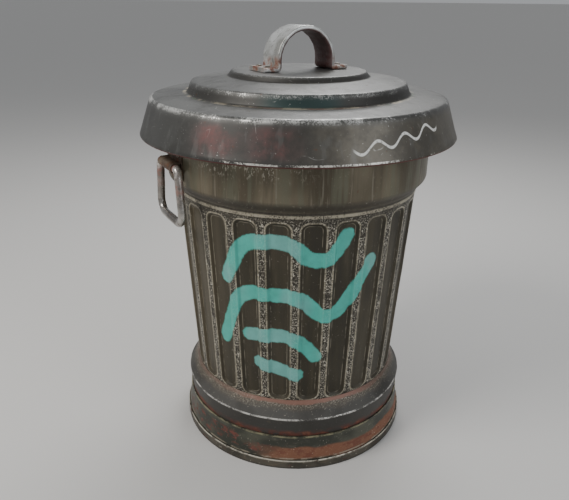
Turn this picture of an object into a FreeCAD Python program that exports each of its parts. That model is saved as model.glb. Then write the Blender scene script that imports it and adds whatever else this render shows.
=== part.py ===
import FreeCAD, Part
import math
import os
import re
import Sketcher

# Lidded metal waste can: a fluted, tapered drum under a plain collar, on a flared base,
# with two drop bails on the collar and a stepped lift-off lid that has a strap handle.
# Millimetres, +Z up. The origin is the centre of the can's foot, on the floor.
# The two side bails hang at the -X (left) and +X (right) sides.

Vector = FreeCAD.Vector
doc = FreeCAD.newDocument("LiddedWasteCan")

# ---------------------------------------------------------------- driving sizes

SIZES = [
    # the drum and its collar
    ("rim_height", 571.0, "top of the rolled rim above the floor"),
    ("collar_radius", 208.5, "outside of the plain collar"),
    ("collar_low", 430.0, "lower edge of the collar's flange over the drum"),
    ("collar_knee", 438.0, "top of that flange, where the collar turns outwards"),
    ("collar_shoulder", 454.0, "top of the outward slope, where the collar turns upright"),
    ("collar_bend", 8.0, "bend radius at the shoulder"),
    ("collar_knee_bend", 4.0, "bend radius at the knee"),
    ("collar_sheet", 1.0, "sheet of the collar"),
    ("curl_radius", 5.0, "outside radius of the curl round the rim wire"),
    ("wall_low_radius", 170.1, "drum at its bottom edge, over the ribs"),
    ("wall_top_radius", 193.8, "drum at its top edge, over the ribs"),
    ("wall_sheet", 1.0, "sheet of the drum"),
    ("flute_count", 24.0, "pressed panels round the drum"),
    ("rib_angle", 4.6, "width of one rib, in degrees round the drum"),
    ("flute_low", 119.0, "bottom of the pressed panels"),
    ("flute_high", 422.0, "top of the pressed panels"),
    ("flute_depth", 3.8, "how far a panel is pressed in"),
    ("flute_corner", 10.0, "corner radius of a pressed panel"),
    ("floor_height", 66.0, "underside of the can's own floor"),
    ("floor_sheet", 1.2, "sheet of the floor"),
    ("floor_flange", 22.0, "height of the floor's upturned flange"),
    ("floor_bend", 3.6, "bend radius at that flange"),
    # the base
    ("base_lip", 118.0, "top edge of the base ring, on the drum"),
    ("base_edge", 92.0, "height of the base ring's sharp edge"),
    ("base_edge_radius", 191.6, "base ring at its sharp edge"),
    ("base_groove_radius", 188.0, "base ring at its lower edge"),
    ("base_bend", 2.2, "bend radius along that sharp edge"),
    ("base_sheet", 1.5, "sheet of the base ring and the skirt"),
    ("foot_top", 58.8, "top of the skirt and of the flat seat ring that carries the drum"),
    ("seat_inner_radius", 158.0, "inner edge of the seat ring"),
    ("foot_step_radius", 190.0, "skirt at its upper corner"),
    ("foot_step_low", 52.0, "bottom of the skirt's upright lip"),
    ("foot_step_bend", 3.0, "bend radius at the foot of that lip"),
    ("foot_hem_radius", 194.5, "skirt at its hem"),
    ("foot_hem_bend", 6.0, "bend radius above the hem"),
    ("hoop_height", 16.0, "height of the foot hoop"),
    ("hoop_thickness", 2.5, "thickness of the foot hoop"),
    ("hoop_edge", 0.8, "rounding of the hoop's upper edge"),
    ("skirt_lift", 1.0, "how far the skirt's edge stays above the floor"),
    # the lid
    ("lid_overhang", 39.0, "how far the lid's hem stands out beyond the collar"),
    ("lid_overlap", 57.0, "how far the lid hangs below the top of the rim"),
    ("lid_shoulder_reach", 16.5, "from the middle of the collar's curl out to the lid's shoulder"),
    ("lid_shoulder_bend", 7.0, "bend radius at that shoulder"),
    ("lid_gap", 0.3, "clearance between the lid and the rim it rests on"),
    ("lid_sheet", 1.0, "sheet of the lid"),
    ("lid_hem_radius", 2.6, "outside radius of the curl round the hem wire"),
    ("crown_rise", 5.0, "rise of the lid's outer annulus"),
    ("step_one_base", 173.0, "radius of the first step at its foot"),
    ("step_one_top", 166.5, "radius of the first step at its top"),
    ("step_one_rise", 16.5, "height of the first step"),
    ("tread_rise", 7.0, "rise of the annulus between the steps"),
    ("step_two_base", 110.0, "radius of the second step at its foot"),
    ("step_two_top", 104.0, "radius of the second step at its top"),
    ("step_two_rise", 8.0, "height of the second step"),
    ("step_bend", 4.0, "bend radius along the steps"),
    # the lid's strap handle
    ("strap_half_span", 50.0, "half the width over the handle's legs"),
    ("strap_height", 65.0, "top of the handle above the lid"),
    ("strap_width", 49.5, "width of the strap"),
    ("strap_thickness", 7.0, "thickness of the strap"),
    ("strap_foot", 22.0, "how far a foot reaches out from its leg"),
    ("strap_bend", 5.0, "bend radius at a foot"),
    ("strap_roundness", 0.97, "bend of the handle's top, as a share of its inner half width"),
    ("pad_thickness", 2.0, "thickness of the backing plates"),
    ("pad_length", 24.0, "length of the lid's backing plates, away from the middle"),
    ("lid_rivet_reach", 12.0, "from the handle's leg out to the rivets of its foot"),
    ("lid_rivet_spread", 14.0, "half the distance between the two rivets of a foot"),
    # the side bails
    ("pivot_height", 482.0, "height of the bail's pivot bar"),
    ("bail_rod", 6.0, "radius of the bail's rod"),
    ("bail_top_half", 38.0, "half the width between the bail's legs at the pivot bar, at mid rod"),
    ("bail_low_half", 53.0, "half the width between the legs at the grip bar, at mid rod"),
    ("bail_drop", 82.0, "from the pivot bar down to the grip bar, at mid rod"),
    ("bail_top_corner", 8.0, "bend radius beside the pivot bar, at mid rod"),
    ("bail_low_corner", 19.0, "bend radius beside the grip bar, at mid rod"),
    ("bracket_sheet", 1.4, "sheet of the bracket"),
    ("bracket_above", 26.0, "how far the bracket's plate reaches above the pivot bar"),
    ("bracket_below", 20.0, "how far the plate reaches below the pivot bar"),
    ("bracket_side_gap", 1.5, "space between the barrel's end and the bail's bend"),
    ("pivot_clearance", 0.08, "radial running clearance of the pivot bar in its barrel"),
    ("bracket_rivet_above", 18.0, "from the pivot bar up to the upper pair of rivets"),
    ("bracket_rivet_below", 13.0, "from the pivot bar down to the lower pair of rivets"),
    ("bracket_rivet_angle", 5.2, "how far a rivet lies from the middle, in degrees"),
    # shared
    ("rivet_shank", 2.6, "radius of a rivet's shank"),
    ("rivet_head", 4.6, "radius of a rivet's head"),
    ("rivet_rise", 2.4, "height of a rivet's head"),
    ("rivet_dome", 2.0, "rounding of a rivet's head"),
    ("rivet_tail", 4.0, "radius of a rivet's closed end"),
    ("rivet_tail_rise", 1.7, "height of a rivet's closed end"),
    ("drill_reach", 20.0, "how far a rivet's hole is cut on each side of its sheet"),
    ("trim_reach", 10.0, "extra length that is cut away where a piece is fitted"),
    ("seam_gap", 0.05, "gap between two pieces that lap or lie on each other"),
    ("seat_gap", 0.15, "gap behind a flat head on a curved plate"),
]

sheet = doc.addObject("Spreadsheet::Sheet", "Sizes")
for row, (alias, value, meaning) in enumerate(SIZES, start=1):
    sheet.set(f"A{row}", meaning)
    sheet.set(f"B{row}", str(value))
    sheet.setAlias(f"B{row}", alias)
doc.recompute()

ALIAS = re.compile(r"\b(" + "|".join(alias for alias, value, meaning in SIZES) + r")\b")


def cells(text):
    """The expression with each size's name turned into a reference to its cell."""
    return ALIAS.sub(r"Sizes.\1", str(text))


def bind(item, field, text):
    item.setExpression(field, cells(text))


def place(item, x="0", y="0", z="0", yaw="0", pitch="0", roll="0"):
    spot = f"create(<<vector>>; {x}; {y}; {z})"
    turn = f"create(<<rotation>>; {yaw}; {pitch}; {roll})"
    bind(item, "Placement", f"create(<<placement>>; {spot}; {turn})")


# ---------------------------------------------------------------- derived places

WALL_LOW = "(foot_top + seam_gap)"
WALL_TOP = "(collar_knee - seam_gap)"


def wall_radius(height):
    """Outside of the drum, over its ribs, at a height."""
    slope = f"(wall_top_radius - wall_low_radius) / ({WALL_TOP} - {WALL_LOW})"
    return f"(wall_low_radius + ({height} - {WALL_LOW}) * {slope})"


CURL_RING = "(collar_radius - collar_sheet + curl_radius)"
CURL_HEIGHT = "(rim_height - curl_radius)"
LID_CROWN = "(rim_height + lid_gap + lid_sheet)"
LID_RADIUS = "(collar_radius + lid_overhang)"
LID_SHOULDER_RADIUS = f"({CURL_RING} + lid_shoulder_reach)"
CROWN_SLOPE = f"crown_rise / ({LID_SHOULDER_RADIUS} - step_one_base)"
LID_SHOULDER = f"({LID_CROWN} - lid_shoulder_reach * {CROWN_SLOPE})"
STEP_ONE_LOW = f"({LID_SHOULDER} + crown_rise)"
STEP_ONE_HIGH = f"({STEP_ONE_LOW} + step_one_rise)"
STEP_TWO_LOW = f"({STEP_ONE_HIGH} + tread_rise)"
LID_TOP = f"({STEP_TWO_LOW} + step_two_rise)"
HEM_RING = f"({LID_RADIUS} - lid_hem_radius)"
HEM_HEIGHT = "(rim_height - lid_overlap + lid_hem_radius)"
BARREL_BORE = "(bail_rod + pivot_clearance)"
BARREL_RADIUS = f"({BARREL_BORE} + bracket_sheet)"
BARREL_HALF = "(bail_top_half - bail_top_corner - bracket_side_gap)"
PLATE_INNER = "(collar_radius + seam_gap)"
PLATE_OUTER = f"({PLATE_INNER} + bracket_sheet)"
PIVOT_RADIUS = f"({PLATE_OUTER} + {BARREL_RADIUS})"
PLATE_LOW = "(pivot_height - bracket_below)"
PLATE_HIGH = "(pivot_height + bracket_above)"
STRAP_SEAT = f"({LID_TOP} + seam_gap)"
LID_RIVET_SPOT = "(strap_half_span + lid_rivet_reach)"


# ---------------------------------------------------------------- ways of making a piece

def draw(sketch, points, closed=False):
    """Straight runs through the points, each point bound to (across, up) and rounded if it has
    a bend radius. The last point of an open line and the first take no bend."""
    spots = [Vector(sketch.evalExpression(cells(x)), sketch.evalExpression(cells(y)), 0)
             for x, y, bend in points]
    count = len(spots)
    runs = count if closed else count - 1
    for i in range(runs):
        sketch.addGeometry(Part.LineSegment(spots[i], spots[(i + 1) % count]), False)
    for i in range(runs if closed else runs - 1):
        sketch.addConstraint(Sketcher.Constraint("Coincident", i, 2, (i + 1) % runs, 1))
    for i, (x, y, bend) in enumerate(points):
        line, end = (i, 1) if i < runs else (i - 1, 2)
        for kind, value, text in (("DistanceX", spots[i].x, x), ("DistanceY", spots[i].y, y)):
            rule = sketch.addConstraint(Sketcher.Constraint(kind, -1, 1, line, end, value))
            bind(sketch, f"Constraints[{rule}]", text)
    for i, (x, y, bend) in enumerate(points):
        if bend is None:
            continue
        before = (i - 1) % count
        after = (i + 1) % count
        radius = sketch.evalExpression(cells(bend))
        near = (spots[before] + spots[i]) * 0.5
        far = (spots[i] + spots[after]) * 0.5
        sketch.fillet((i - 1) % runs, i % runs, near, far, radius, True, True)
        arc = max(n for n, item in enumerate(sketch.Geometry) if isinstance(item, Part.ArcOfCircle))
        rule = sketch.addConstraint(Sketcher.Constraint("Radius", arc, radius))
        bind(sketch, f"Constraints[{rule}]", bend)
    doc.recompute()
    return sketch


def standing_sketch(name):
    """A sketch of its own in the XZ plane: across is +X and up is +Z."""
    sketch = doc.addObject("Sketcher::SketchObject", name)
    sketch.Placement = FreeCAD.Placement(Vector(0, 0, 0), FreeCAD.Rotation(Vector(1, 0, 0), 90))
    return sketch


def sheet_section(name, points, thickness):
    """Section of a bent sheet. The points run along the outer face, with the metal on their left."""
    section = doc.addObject("Part::Offset2D", name + "_section")
    section.Source = draw(standing_sketch(name + "_line"), points)
    section.Mode = "Skin"
    section.Join = "Intersection"
    section.Fill = True
    bind(section, "Value", thickness)
    return section


def spun_sheet(name, points, thickness):
    """A sheet spun round the can's axis."""
    spin = doc.addObject("Part::Revolution", name)
    spin.Source = sheet_section(name, points, thickness)
    spin.Axis = Vector(0, 0, 1)
    spin.Angle = 360
    spin.Solid = True
    return spin


def body_sketch(body, name, role):
    sketch = body.newObject("Sketcher::SketchObject", name)
    plane = [item for item in body.Origin.OriginFeatures if item.Role == role][0]
    sketch.AttachmentSupport = [(plane, "")]
    sketch.MapMode = "FlatFace"
    return sketch


def spun_body(name, points, axis="V_Axis"):
    """A solid turned from a closed section in the XZ plane."""
    body = doc.addObject("PartDesign::Body", name)
    section = draw(body_sketch(body, name + "_section", "XZ_Plane"), points, closed=True)
    turn = body.newObject("PartDesign::Revolution", name + "_turn")
    turn.Profile = section
    turn.ReferenceAxis = (section, [axis])
    turn.Angle = 360
    body.Tip = turn
    return body


def ring(name, radius, tube, height):
    torus = doc.addObject("Part::Torus", name)
    bind(torus, "Radius1", radius)
    bind(torus, "Radius2", tube)
    place(torus, z=height)
    return torus


def cylinder(name, radius, length, low="0"):
    post = doc.addObject("Part::Cylinder", name)
    bind(post, "Radius", radius)
    bind(post, "Height", length)
    place(post, z=low)
    return post


def block(name, low, high):
    """A box between two corners, each given as three expressions."""
    box = doc.addObject("Part::Box", name)
    for field, start, end in zip(("Length", "Width", "Height"), low, high):
        bind(box, field, f"({end}) - ({start})")
    place(box, *[f"({start})" for start in low])
    return box


def cut(name, base, tool):
    item = doc.addObject("Part::Cut", name)
    item.Base = base
    item.Tool = tool
    return item


def common(name, base, tool):
    item = doc.addObject("Part::Common", name)
    item.Base = base
    item.Tool = tool
    return item


def fuse(name, shapes):
    item = doc.addObject("Part::MultiFuse", name)
    item.Shapes = shapes
    return item


def group(name, items):
    item = doc.addObject("Part::Compound", name)
    item.Links = items
    return item


NODES = []


def node(item, label):
    item.Label = label
    NODES.append(item)
    return item


# ---------------------------------------------------------------- the fluted drum

SAME_LEVEL = 1e-6


def flute_press(name, grow):
    """The pressed-in panels as solids that stand round the drum. Grow widens, deepens and
    lengthens each one, which gives the panels of the sheet's inner face."""
    low = f"(flute_low - {grow})"
    high = f"(flute_high + {grow})"
    deep = f"(flute_depth + {grow})"
    body = doc.addObject("PartDesign::Body", name)
    section = draw(body_sketch(body, name + "_section", "XZ_Plane"), [
        (f"{wall_radius(low)} - {deep}", low, None),
        (f"{wall_radius(low)} + flute_depth", low, None),
        (f"{wall_radius(high)} + flute_depth", high, None),
        (f"{wall_radius(high)} - {deep}", high, None),
    ], closed=True)
    blank = body.newObject("PartDesign::Revolution", name + "_blank")
    blank.Profile = section
    blank.ReferenceAxis = (section, ["V_Axis"])
    blank.Midplane = True
    widening = f"360 * {grow} / (pi * wall_top_radius)"
    bind(blank, "Angle", f"360 / flute_count - rib_angle + {widening}")
    doc.recompute()
    corners = [f"Edge{number}" for number, edge in enumerate(blank.Shape.Edges, start=1)
               if is_radial(edge)]
    rounding = body.newObject("PartDesign::Fillet", name + "_corners")
    rounding.Base = (blank, corners)
    bind(rounding, "Radius", f"flute_corner + {grow}")
    pattern = body.newObject("PartDesign::PolarPattern", name + "_round")
    pattern.TransformMode = "Whole shape"
    pattern.Axis = ([item for item in body.Origin.OriginFeatures if item.Role == "Z_Axis"][0], [""])
    pattern.Angle = 360
    bind(pattern, "Occurrences", "flute_count")
    body.Tip = pattern
    place(body, yaw="180 / flute_count")
    return body


def is_radial(edge):
    """True for a level edge that runs towards the axis, as a panel's corners do."""
    start = edge.Vertexes[0].Point
    end = edge.Vertexes[-1].Point
    run = abs(math.hypot(start.x, start.y) - math.hypot(end.x, end.y))
    return abs(start.z - end.z) < SAME_LEVEL and run > SAME_LEVEL


def drum_blank(name, grow):
    """A plain tapered plug: the drum's outside, or with grow its inside."""
    low = WALL_LOW if grow == "0" else f"({WALL_LOW} - {grow})"
    high = WALL_TOP if grow == "0" else f"({WALL_TOP} + {grow})"
    cone = doc.addObject("Part::Cone", name)
    bind(cone, "Radius1", f"{wall_radius(low)} - {grow}")
    bind(cone, "Radius2", f"{wall_radius(high)} - {grow}")
    bind(cone, "Height", f"{high} - {low}")
    place(cone, z=low)
    return cone


def side_wall():
    outside = cut("drum_outside", drum_blank("drum_plug", "0"), flute_press("flutes_outside", "0"))
    inside = cut("drum_inside", drum_blank("drum_hollow", "wall_sheet"),
                 flute_press("flutes_inside", "wall_sheet"))
    return node(cut("wall", outside, inside), "side_wall")


# ---------------------------------------------------------------- collar, floor and base

def upper_collar(rivet_holes):
    lap = "(collar_sheet + seam_gap)"
    band = spun_sheet("collar_band", [
        (f"{wall_radius('collar_low')} + {lap}", "collar_low", None),
        (f"{wall_radius('collar_knee')} + {lap}", "collar_knee", "collar_knee_bend"),
        ("collar_radius", "collar_shoulder", "collar_bend"),
        ("collar_radius", CURL_HEIGHT, None),
    ], "collar_sheet")
    curl = cut("collar_curl", ring("curl_outside", CURL_RING, "curl_radius", CURL_HEIGHT),
               ring("curl_inside", CURL_RING, "curl_radius - collar_sheet", CURL_HEIGHT))
    return node(cut("collar", fuse("collar_whole", [band, curl]), rivet_holes), "upper_collar")


def rim_wire():
    wire = "curl_radius - collar_sheet - seam_gap"
    return node(ring("wire_in_rim", CURL_RING, wire, CURL_HEIGHT), "rim_wire")


def bottom_plate():
    inset = "(wall_sheet + seam_gap)"
    rim = "(floor_height + floor_flange)"
    pan = spun_sheet("floor_pan", [
        ("0", "floor_height", None),
        (f"{wall_radius('floor_height')} - {inset}", "floor_height", "floor_bend"),
        (f"{wall_radius(rim)} - {inset}", rim, None),
    ], "floor_sheet")
    return node(pan, "bottom_plate")


def base_ring():
    low = f"({WALL_LOW} + seam_gap)"
    shell = spun_sheet("base_shell", [
        ("base_groove_radius", low, None),
        ("base_edge_radius", "base_edge", "base_bend"),
        (f"{wall_radius('base_lip')} + seam_gap + base_sheet / 2", "base_lip", None),
    ], "base_sheet")
    clear_of_drum = drum_blank("drum_clearance", "-seam_gap")
    return node(cut("base_shell_on_drum", shell, clear_of_drum), "base_ring")


def foot_skirt():
    shell = spun_sheet("skirt_shell", [
        ("foot_hem_radius", "skirt_lift", None),
        ("foot_hem_radius", "hoop_height + skirt_lift", "foot_hem_bend"),
        ("foot_step_radius", "foot_step_low", "foot_step_bend"),
        ("foot_step_radius", "foot_top", None),
    ], "base_sheet")
    return node(shell, "foot_skirt")


def seat_ring():
    """The flat ring inside the skirt's lip, on which the drum and the base ring stand."""
    outer = "(foot_step_radius - base_sheet - seam_gap)"
    low = "(foot_top - base_sheet)"
    flat = spun_body("seat", [
        ("seat_inner_radius", low, None),
        (outer, low, None),
        (outer, "foot_top", None),
        ("seat_inner_radius", "foot_top", None),
    ])
    return node(flat, "seat_ring")


def foot_hoop():
    inner = "(foot_hem_radius + seam_gap)"
    band = spun_body("hoop", [
        (inner, "0", None),
        (f"{inner} + hoop_thickness", "0", None),
        (f"{inner} + hoop_thickness", "hoop_height", "hoop_edge"),
        (inner, "hoop_height", None),
    ])
    return node(band, "foot_hoop")


# ---------------------------------------------------------------- rivets

def rivet(name, grip):
    """A rivet along local X: its head is beyond zero and its shank fills the grip behind it."""
    back = f"(-({grip}))"
    end = f"({back} - rivet_tail_rise)"
    return spun_body(name, [
        (end, "0", None),
        ("rivet_rise", "0", None),
        ("rivet_rise", "rivet_head", "rivet_dome"),
        ("0", "rivet_head", None),
        ("0", "rivet_shank", None),
        (back, "rivet_shank", None),
        (back, "rivet_tail", None),
        (end, "rivet_tail", None),
    ], axis="H_Axis")


# ---------------------------------------------------------------- side bails and their brackets

BRACKET_RIVET_HEIGHTS = ("(pivot_height + bracket_rivet_above)", "(pivot_height - bracket_rivet_below)")
BRACKET_RIVETS = [(turn, height) for height in BRACKET_RIVET_HEIGHTS
                  for turn in ("bracket_rivet_angle", "-bracket_rivet_angle")]
SIDES = (("left", "180"), ("right", "0"))


def radial_holes(side, yaw):
    """Holes for the bracket's rivets, through everything that they clamp."""
    holes = []
    for number, (turn, height) in enumerate(BRACKET_RIVETS):
        hole = cylinder(f"bracket_hole_{side}_{number}", "rivet_shank + seam_gap", "2 * drill_reach")
        reach = "(collar_radius - drill_reach)"
        place(hole, f"{reach} * cos({turn})", f"{reach} * sin({turn})", height, yaw=turn, pitch="90")
        holes.append(hole)
    holes = group(f"bracket_holes_{side}", holes)
    place(holes, yaw=yaw)
    return holes


def curved_plate(name, inner, outer, half_width, low, high):
    """A plate bent to the collar, on its +X side."""
    hoop = cut(name + "_hoop", cylinder(name + "_outer", outer, f"{high} - {low}", low),
               cylinder(name + "_inner", inner, f"{high} - {low}", low))
    window = block(name + "_window", ("0", f"-{half_width}", low),
                   (f"{outer} + trim_reach", half_width, high))
    return common(name, hoop, window)


def along_y(name, radius, half_length):
    """A round bar along Y at the pivot, on the +X side."""
    bar = cylinder(name, radius, f"2 * ({half_length})")
    place(bar, PIVOT_RADIUS, f"({half_length})", "pivot_height", roll="90")
    return bar


def handle_bracket(side, yaw):
    name = f"bracket_{side}"
    plate = curved_plate(name + "_plate", PLATE_INNER, PLATE_OUTER, BARREL_HALF,
                         PLATE_LOW, PLATE_HIGH)
    back = f"({PLATE_INNER} - trim_reach)"
    fold = []
    for part, reach in (("outer", BARREL_RADIUS), ("inner", BARREL_BORE)):
        fold.append(block(f"{name}_fold_{part}",
                          (back, f"-{BARREL_HALF}", f"pivot_height - {reach}"),
                          (PIVOT_RADIUS, BARREL_HALF, f"pivot_height + {reach}")))
    webs = cut(name + "_webs", cut(name + "_fold", *fold),
               cylinder(name + "_collar_clearance", PLATE_INNER, "rim_height"))
    barrel = along_y(name + "_barrel", BARREL_RADIUS, BARREL_HALF)
    whole = fuse(name + "_whole", [plate, webs, barrel])
    bored = cut(name + "_bored", whole, along_y(name + "_bore", BARREL_BORE, f"{BARREL_HALF} + trim_reach"))
    pierced = cut(name, bored, radial_holes(f"{side}_in_bracket", "0"))
    place(pierced, yaw=yaw)
    return node(pierced, f"handle_bracket_{side}")


def bracket_backing(side, yaw):
    name = f"backing_{side}"
    outer = "(collar_radius - collar_sheet - seam_gap)"
    plate = curved_plate(name + "_plate", f"({outer} - pad_thickness)", outer, BARREL_HALF,
                         PLATE_LOW, PLATE_HIGH)
    pierced = cut(name, plate, radial_holes(f"{side}_in_backing", "0"))
    place(pierced, yaw=yaw)
    return node(pierced, f"bracket_backing_{side}")


def bracket_rivets(side, yaw):
    grip = "bracket_sheet + collar_sheet + pad_thickness + 2 * seam_gap + seat_gap"
    rivets = []
    for number, (turn, height) in enumerate(BRACKET_RIVETS):
        pin = rivet(f"bracket_rivet_{side}_{number}", grip)
        place(pin, f"{PLATE_OUTER} * cos({turn})", f"{PLATE_OUTER} * sin({turn})", height, yaw=turn)
        rivets.append(pin)
    rivets = group(f"rivets_{side}", rivets)
    place(rivets, yaw=yaw)
    return node(rivets, f"bracket_rivets_{side}")


def side_handle(side, yaw):
    """A bail of round rod, bent to a closed loop and hanging from its pivot bar."""
    name = f"bail_{side}"
    body = doc.addObject("PartDesign::Body", name)
    path = draw(body_sketch(body, name + "_path", "YZ_Plane"), [
        ("0", "0", None),
        ("bail_top_half", "0", "bail_top_corner"),
        ("bail_low_half", "-bail_drop", "bail_low_corner"),
        ("-bail_low_half", "-bail_drop", "bail_low_corner"),
        ("-bail_top_half", "0", "bail_top_corner"),
    ], closed=True)
    section = body_sketch(body, name + "_section", "XZ_Plane")
    rod = section.evalExpression(cells("bail_rod"))
    circle = section.addGeometry(Part.Circle(Vector(0, 0, 0), Vector(0, 0, 1), rod), False)
    section.addConstraint(Sketcher.Constraint("Coincident", circle, 3, -1, 1))
    rule = section.addConstraint(Sketcher.Constraint("Radius", circle, rod))
    bind(section, f"Constraints[{rule}]", "bail_rod")
    pipe = body.newObject("PartDesign::AdditivePipe", name + "_rod")
    pipe.Profile = section
    pipe.Spine = path
    body.Tip = pipe
    sign = "-1" if side == "left" else "1"
    place(body, f"{sign} * {PIVOT_RADIUS}", "0", "pivot_height", yaw=yaw)
    return node(body, f"side_handle_{side}")


# ---------------------------------------------------------------- the lid

def lid_rivet_spots(side):
    sign = "-1" if side == "left" else "1"
    return [(f"{sign} * {LID_RIVET_SPOT}", y) for y in ("lid_rivet_spread", "-lid_rivet_spread")]


def lid_rivet_holes(name):
    holes = []
    for side, yaw in SIDES:
        for number, (x, y) in enumerate(lid_rivet_spots(side)):
            hole = cylinder(f"{name}_{side}_{number}", "rivet_shank + seam_gap", "2 * drill_reach")
            place(hole, x, y, f"{LID_TOP} - drill_reach")
            holes.append(hole)
    return group(name, holes)


def lid_shell():
    crown = spun_sheet("lid_crown", [
        (f"({LID_RADIUS} - seam_gap)", HEM_HEIGHT, None),
        (LID_SHOULDER_RADIUS, LID_SHOULDER, "lid_shoulder_bend"),
        ("step_one_base", STEP_ONE_LOW, "step_bend"),
        ("step_one_top", STEP_ONE_HIGH, "step_bend"),
        ("step_two_base", STEP_TWO_LOW, "step_bend"),
        ("step_two_top", LID_TOP, "step_bend"),
        ("0", LID_TOP, None),
    ], "lid_sheet")
    whole = fuse("lid_whole", [crown, ring("hem_outside", HEM_RING, "lid_hem_radius", HEM_HEIGHT)])
    bore = ring("hem_inside", HEM_RING, "lid_hem_radius - lid_sheet", HEM_HEIGHT)
    curled = cut("lid_curled", whole, bore)
    return node(cut("lid", curled, lid_rivet_holes("holes_in_lid")), "lid_shell")


def lid_rim_wire():
    wire = "lid_hem_radius - lid_sheet - seam_gap"
    return node(ring("wire_in_hem", HEM_RING, wire, HEM_HEIGHT), "lid_rim_wire")


def lid_handle():
    """A strap bent to an arch, with a foot turned out at each end."""
    inner = "(strap_half_span - strap_thickness)"
    end = "(strap_half_span + strap_foot)"
    under = f"({LID_TOP} + strap_height - strap_thickness)"
    crown = f"{inner} * strap_roundness"
    section = sheet_section("strap", [
        (f"-{end}", STRAP_SEAT, None),
        (f"-{inner}", STRAP_SEAT, "strap_bend"),
        (f"-{inner}", under, crown),
        (inner, under, crown),
        (inner, STRAP_SEAT, "strap_bend"),
        (end, STRAP_SEAT, None),
    ], "strap_thickness")
    strap = doc.addObject("Part::Extrusion", "strap")
    strap.Base = section
    strap.DirMode = "Custom"
    strap.Dir = Vector(0, 1, 0)
    strap.Symmetric = True
    strap.Solid = True
    bind(strap, "LengthFwd", "strap_width")
    return node(cut("strap_pierced", strap, lid_rivet_holes("holes_in_strap")), "lid_handle")


def lid_handle_backing(side):
    sign = "-1" if side == "left" else "1"
    name = f"lid_pad_{side}"
    top = f"({LID_TOP} - lid_sheet - seam_gap)"
    plate = block(name + "_plate",
                  (f"{sign} * {LID_RIVET_SPOT} - pad_length / 2", "-strap_width / 2",
                   f"{top} - pad_thickness"),
                  (f"{sign} * {LID_RIVET_SPOT} + pad_length / 2", "strap_width / 2", top))
    return node(cut(name, plate, lid_rivet_holes(f"holes_in_pad_{side}")), f"lid_handle_backing_{side}")


def lid_handle_rivets(side):
    grip = "strap_thickness + lid_sheet + pad_thickness + 3 * seam_gap"
    rivets = []
    for number, (x, y) in enumerate(lid_rivet_spots(side)):
        pin = rivet(f"lid_rivet_{side}_{number}", grip)
        place(pin, x, y, f"{STRAP_SEAT} + strap_thickness", pitch="-90")
        rivets.append(pin)
    return node(group(f"lid_rivets_{side}", rivets), f"lid_handle_rivets_{side}")


# ---------------------------------------------------------------- assembly

side_wall()
upper_collar(group("collar_holes", [radial_holes(side, yaw) for side, yaw in SIDES]))
rim_wire()
bottom_plate()
base_ring()
foot_skirt()
seat_ring()
foot_hoop()
for side, yaw in SIDES:
    handle_bracket(side, yaw)
    bracket_backing(side, yaw)
    bracket_rivets(side, yaw)
    side_handle(side, yaw)
lid_shell()
lid_rim_wire()
lid_handle()
for side, yaw in SIDES:
    lid_handle_backing(side)
    lid_handle_rivets(side)
doc.recompute()

# ---------------------------------------------------------------- checks and files

for item in doc.Objects:
    if {"Invalid", "Error"} & set(item.State):
        raise RuntimeError(f"{item.Name} did not build: {item.State}")
for item in NODES:
    if item.Shape.isNull() or not item.Shape.isValid() or not item.Shape.Solids:
        raise RuntimeError(f"{item.Label} has no sound solid")

os.makedirs("parts", exist_ok=True)
for item in NODES:
    item.Shape.exportStep(os.path.join("parts", item.Label + ".step"))
    solids = item.Shape.Solids
    print(f"{item.Label}: {len(solids)} solid(s), {sum(solid.Volume for solid in solids) / 1000:.2f} cm3")
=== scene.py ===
# %% [markdown]
# # A lidded waste can of tarnished galvanised sheet
# The can is a fluted, tapered drum under a plain collar. It stands on a flared base and wears a
# stepped lid with a strap handle. Two bails hang from brackets on the collar.
# The CAD model gives the places and the moving bodies. This lesson builds the sheet metal that
# shows, gives it its wear, and lets each piece ride on its body.

# %% Load the frame
from math import atan2, ceil, cos, hypot, pi, radians, sin, tan

import bmesh
import bpy
import numpy as np
from mathutils import Matrix, Vector, noise


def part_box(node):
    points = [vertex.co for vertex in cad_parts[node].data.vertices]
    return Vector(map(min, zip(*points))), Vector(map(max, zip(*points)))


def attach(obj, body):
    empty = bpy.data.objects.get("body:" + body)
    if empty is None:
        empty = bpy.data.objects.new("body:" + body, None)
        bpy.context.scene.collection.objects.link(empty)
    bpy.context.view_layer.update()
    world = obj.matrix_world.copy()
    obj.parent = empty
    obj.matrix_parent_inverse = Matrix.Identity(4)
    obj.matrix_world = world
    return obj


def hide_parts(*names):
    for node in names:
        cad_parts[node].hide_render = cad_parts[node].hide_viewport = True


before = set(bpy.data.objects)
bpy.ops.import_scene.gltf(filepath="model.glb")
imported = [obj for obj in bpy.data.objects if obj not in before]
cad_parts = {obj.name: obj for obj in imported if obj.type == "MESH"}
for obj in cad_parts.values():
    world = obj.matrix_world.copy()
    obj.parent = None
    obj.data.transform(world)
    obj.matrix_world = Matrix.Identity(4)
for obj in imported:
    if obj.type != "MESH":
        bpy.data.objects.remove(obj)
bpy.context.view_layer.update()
MM = 0.001

# %% [markdown]
# ## Places that come from the CAD
# A sheet-metal worker reads radii and heights off the drawing before cutting. Here the drawing is
# the frame: the box of each node gives its height and its radius, so a change in the CAD reaches
# the looks by itself. Sizes that a box cannot show, such as a bend, are named where they are used.

# %% Read the main radii and heights
AXIS_X = 0
AXIS_Z = 2


def foot_of(node):
    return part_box(node)[0][AXIS_Z]


def top_of(node):
    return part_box(node)[1][AXIS_Z]


def radius_of(node):
    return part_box(node)[1][AXIS_X]


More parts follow.
